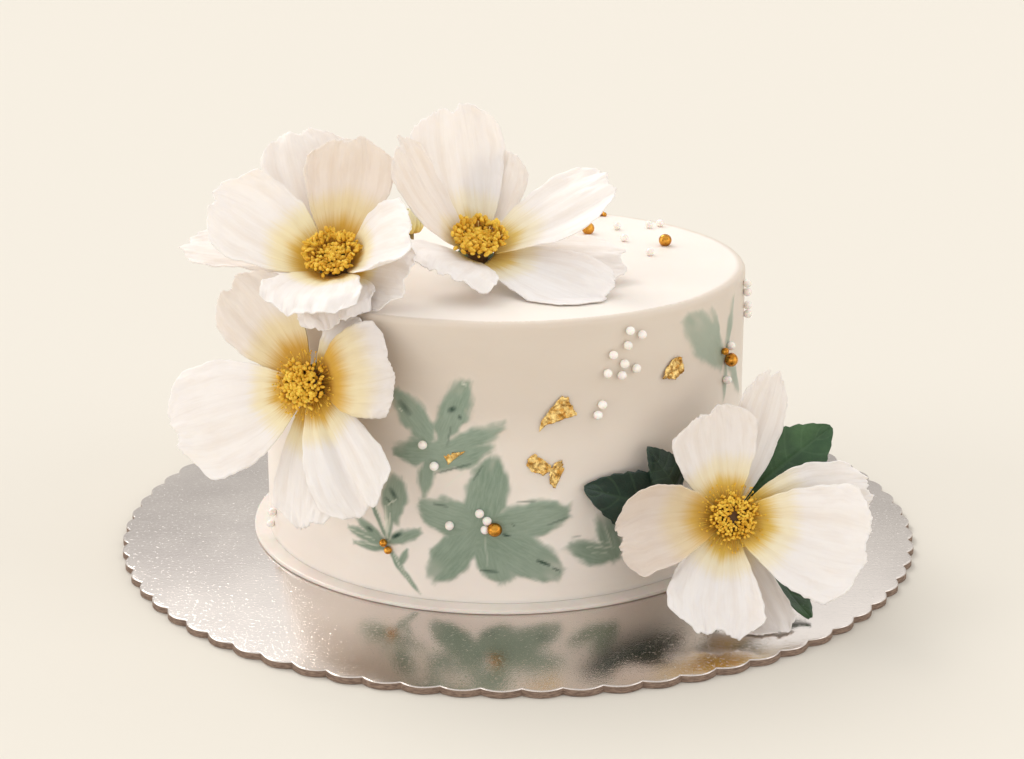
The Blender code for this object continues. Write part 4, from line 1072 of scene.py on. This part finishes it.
# Pale floor, soft light and the camera's surroundings
studio = dict(floorSize=14.0, floorColour=(0.715, 0.68, 0.617, 1.0), floorDrop=0.0002, sunColour=(1.0, 0.975, 0.94),
              ambient=0.6, ceiling=0.34, front=1.5, window=0.5, fromLeft=0.22, fromRight=0.16,
              lowColour=(1.0, 0.955, 0.895, 1), highColour=(1.0, 0.985, 0.96, 1), backdrop=paint(244, 236, 223),
              suns=(("key", 1.1, (-0.5, 0.75, 0.85), 24), ("left", 0.55, (-1.0, -0.15, 0.35), 40),
                    ("right", 0.35, (0.9, -0.2, 0.45), 40)))


def addStudio():
    floorMesh = bpy.data.meshes.new("floor")
    bm = bmesh.new()
    bmesh.ops.create_grid(bm, x_segments=1, y_segments=1, size=studio["floorSize"] / 2)
    bmesh.ops.translate(bm, vec=(0, 0, -studio["floorDrop"]), verts=bm.verts)
    bm.to_mesh(floorMesh)
    bm.free()
    floor = placed("floor", floorMesh)
    look = newMaterial("pale floor", Roughness=0.9, Specular_IOR_Level=0.0)
    look.shader.inputs["Base Color"].default_value = studio["floorColour"]
    floorMesh.materials.append(look.material)
    floor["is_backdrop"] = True

    for name, strength, direction, angle in studio["suns"]:
        light = bpy.data.lights.new(name, "SUN")
        light.energy = strength
        light.angle = math.radians(angle)
        light.color = studio["sunColour"]
        holder = placed(name, light)
        holder.rotation_mode = "QUATERNION"
        holder.rotation_quaternion = Vector(direction).to_track_quat("Z", "Y")

    world = bpy.data.worlds.new("studio")
    world.use_nodes = True
    look = Nodes(world.node_tree)
    direction = look.add("ShaderNodeTexCoord").outputs["Generated"]
    parts = look.add("ShaderNodeSeparateXYZ", {"Vector": direction})
    up, back, aside = parts.outputs["Z"], parts.outputs["Y"], parts.outputs["X"]
    ceiling = look.spread(up, 0.35, 0.95, 0.0, studio["ceiling"])
    front = look.times(look.spread(up, 0.36, 0.0, 0.0, studio["front"]), look.spread(back, 0.1, -0.6))
    window = look.times(look.spread(up, 0.33, 0.47, 0.0, studio["window"]), look.spread(up, 0.85, 0.6))
    window = look.times(window, look.spread(back, 0.2, 0.7))
    fromLeft = look.spread(aside, 0.2, -0.95, 0.0, studio["fromLeft"])
    fromRight = look.spread(aside, 0.1, 0.95, 0.0, studio["fromRight"])
    level = look.plus(ceiling, front, window, fromLeft, fromRight, studio["ambient"])
    background = world.node_tree.nodes["Background"]
    colour = look.mix(look.spread(up, 0.1, 0.7), studio["lowColour"], studio["highColour"])
    colour = look.mix(1.0, colour, level, "MULTIPLY")
    seen = look.add("ShaderNodeLightPath").outputs["Is Camera Ray"]
    colour = look.mix(seen, colour, studio["backdrop"])
    world.node_tree.links.new(colour, background.inputs["Color"])
    bpy.context.scene.world = world
    bpy.context.scene.view_settings.view_transform = "Standard"


addStudio()
print("studio lit")

{"cad": [list(corner) for corner in cadBox], "visual": [list(corner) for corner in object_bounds()]}
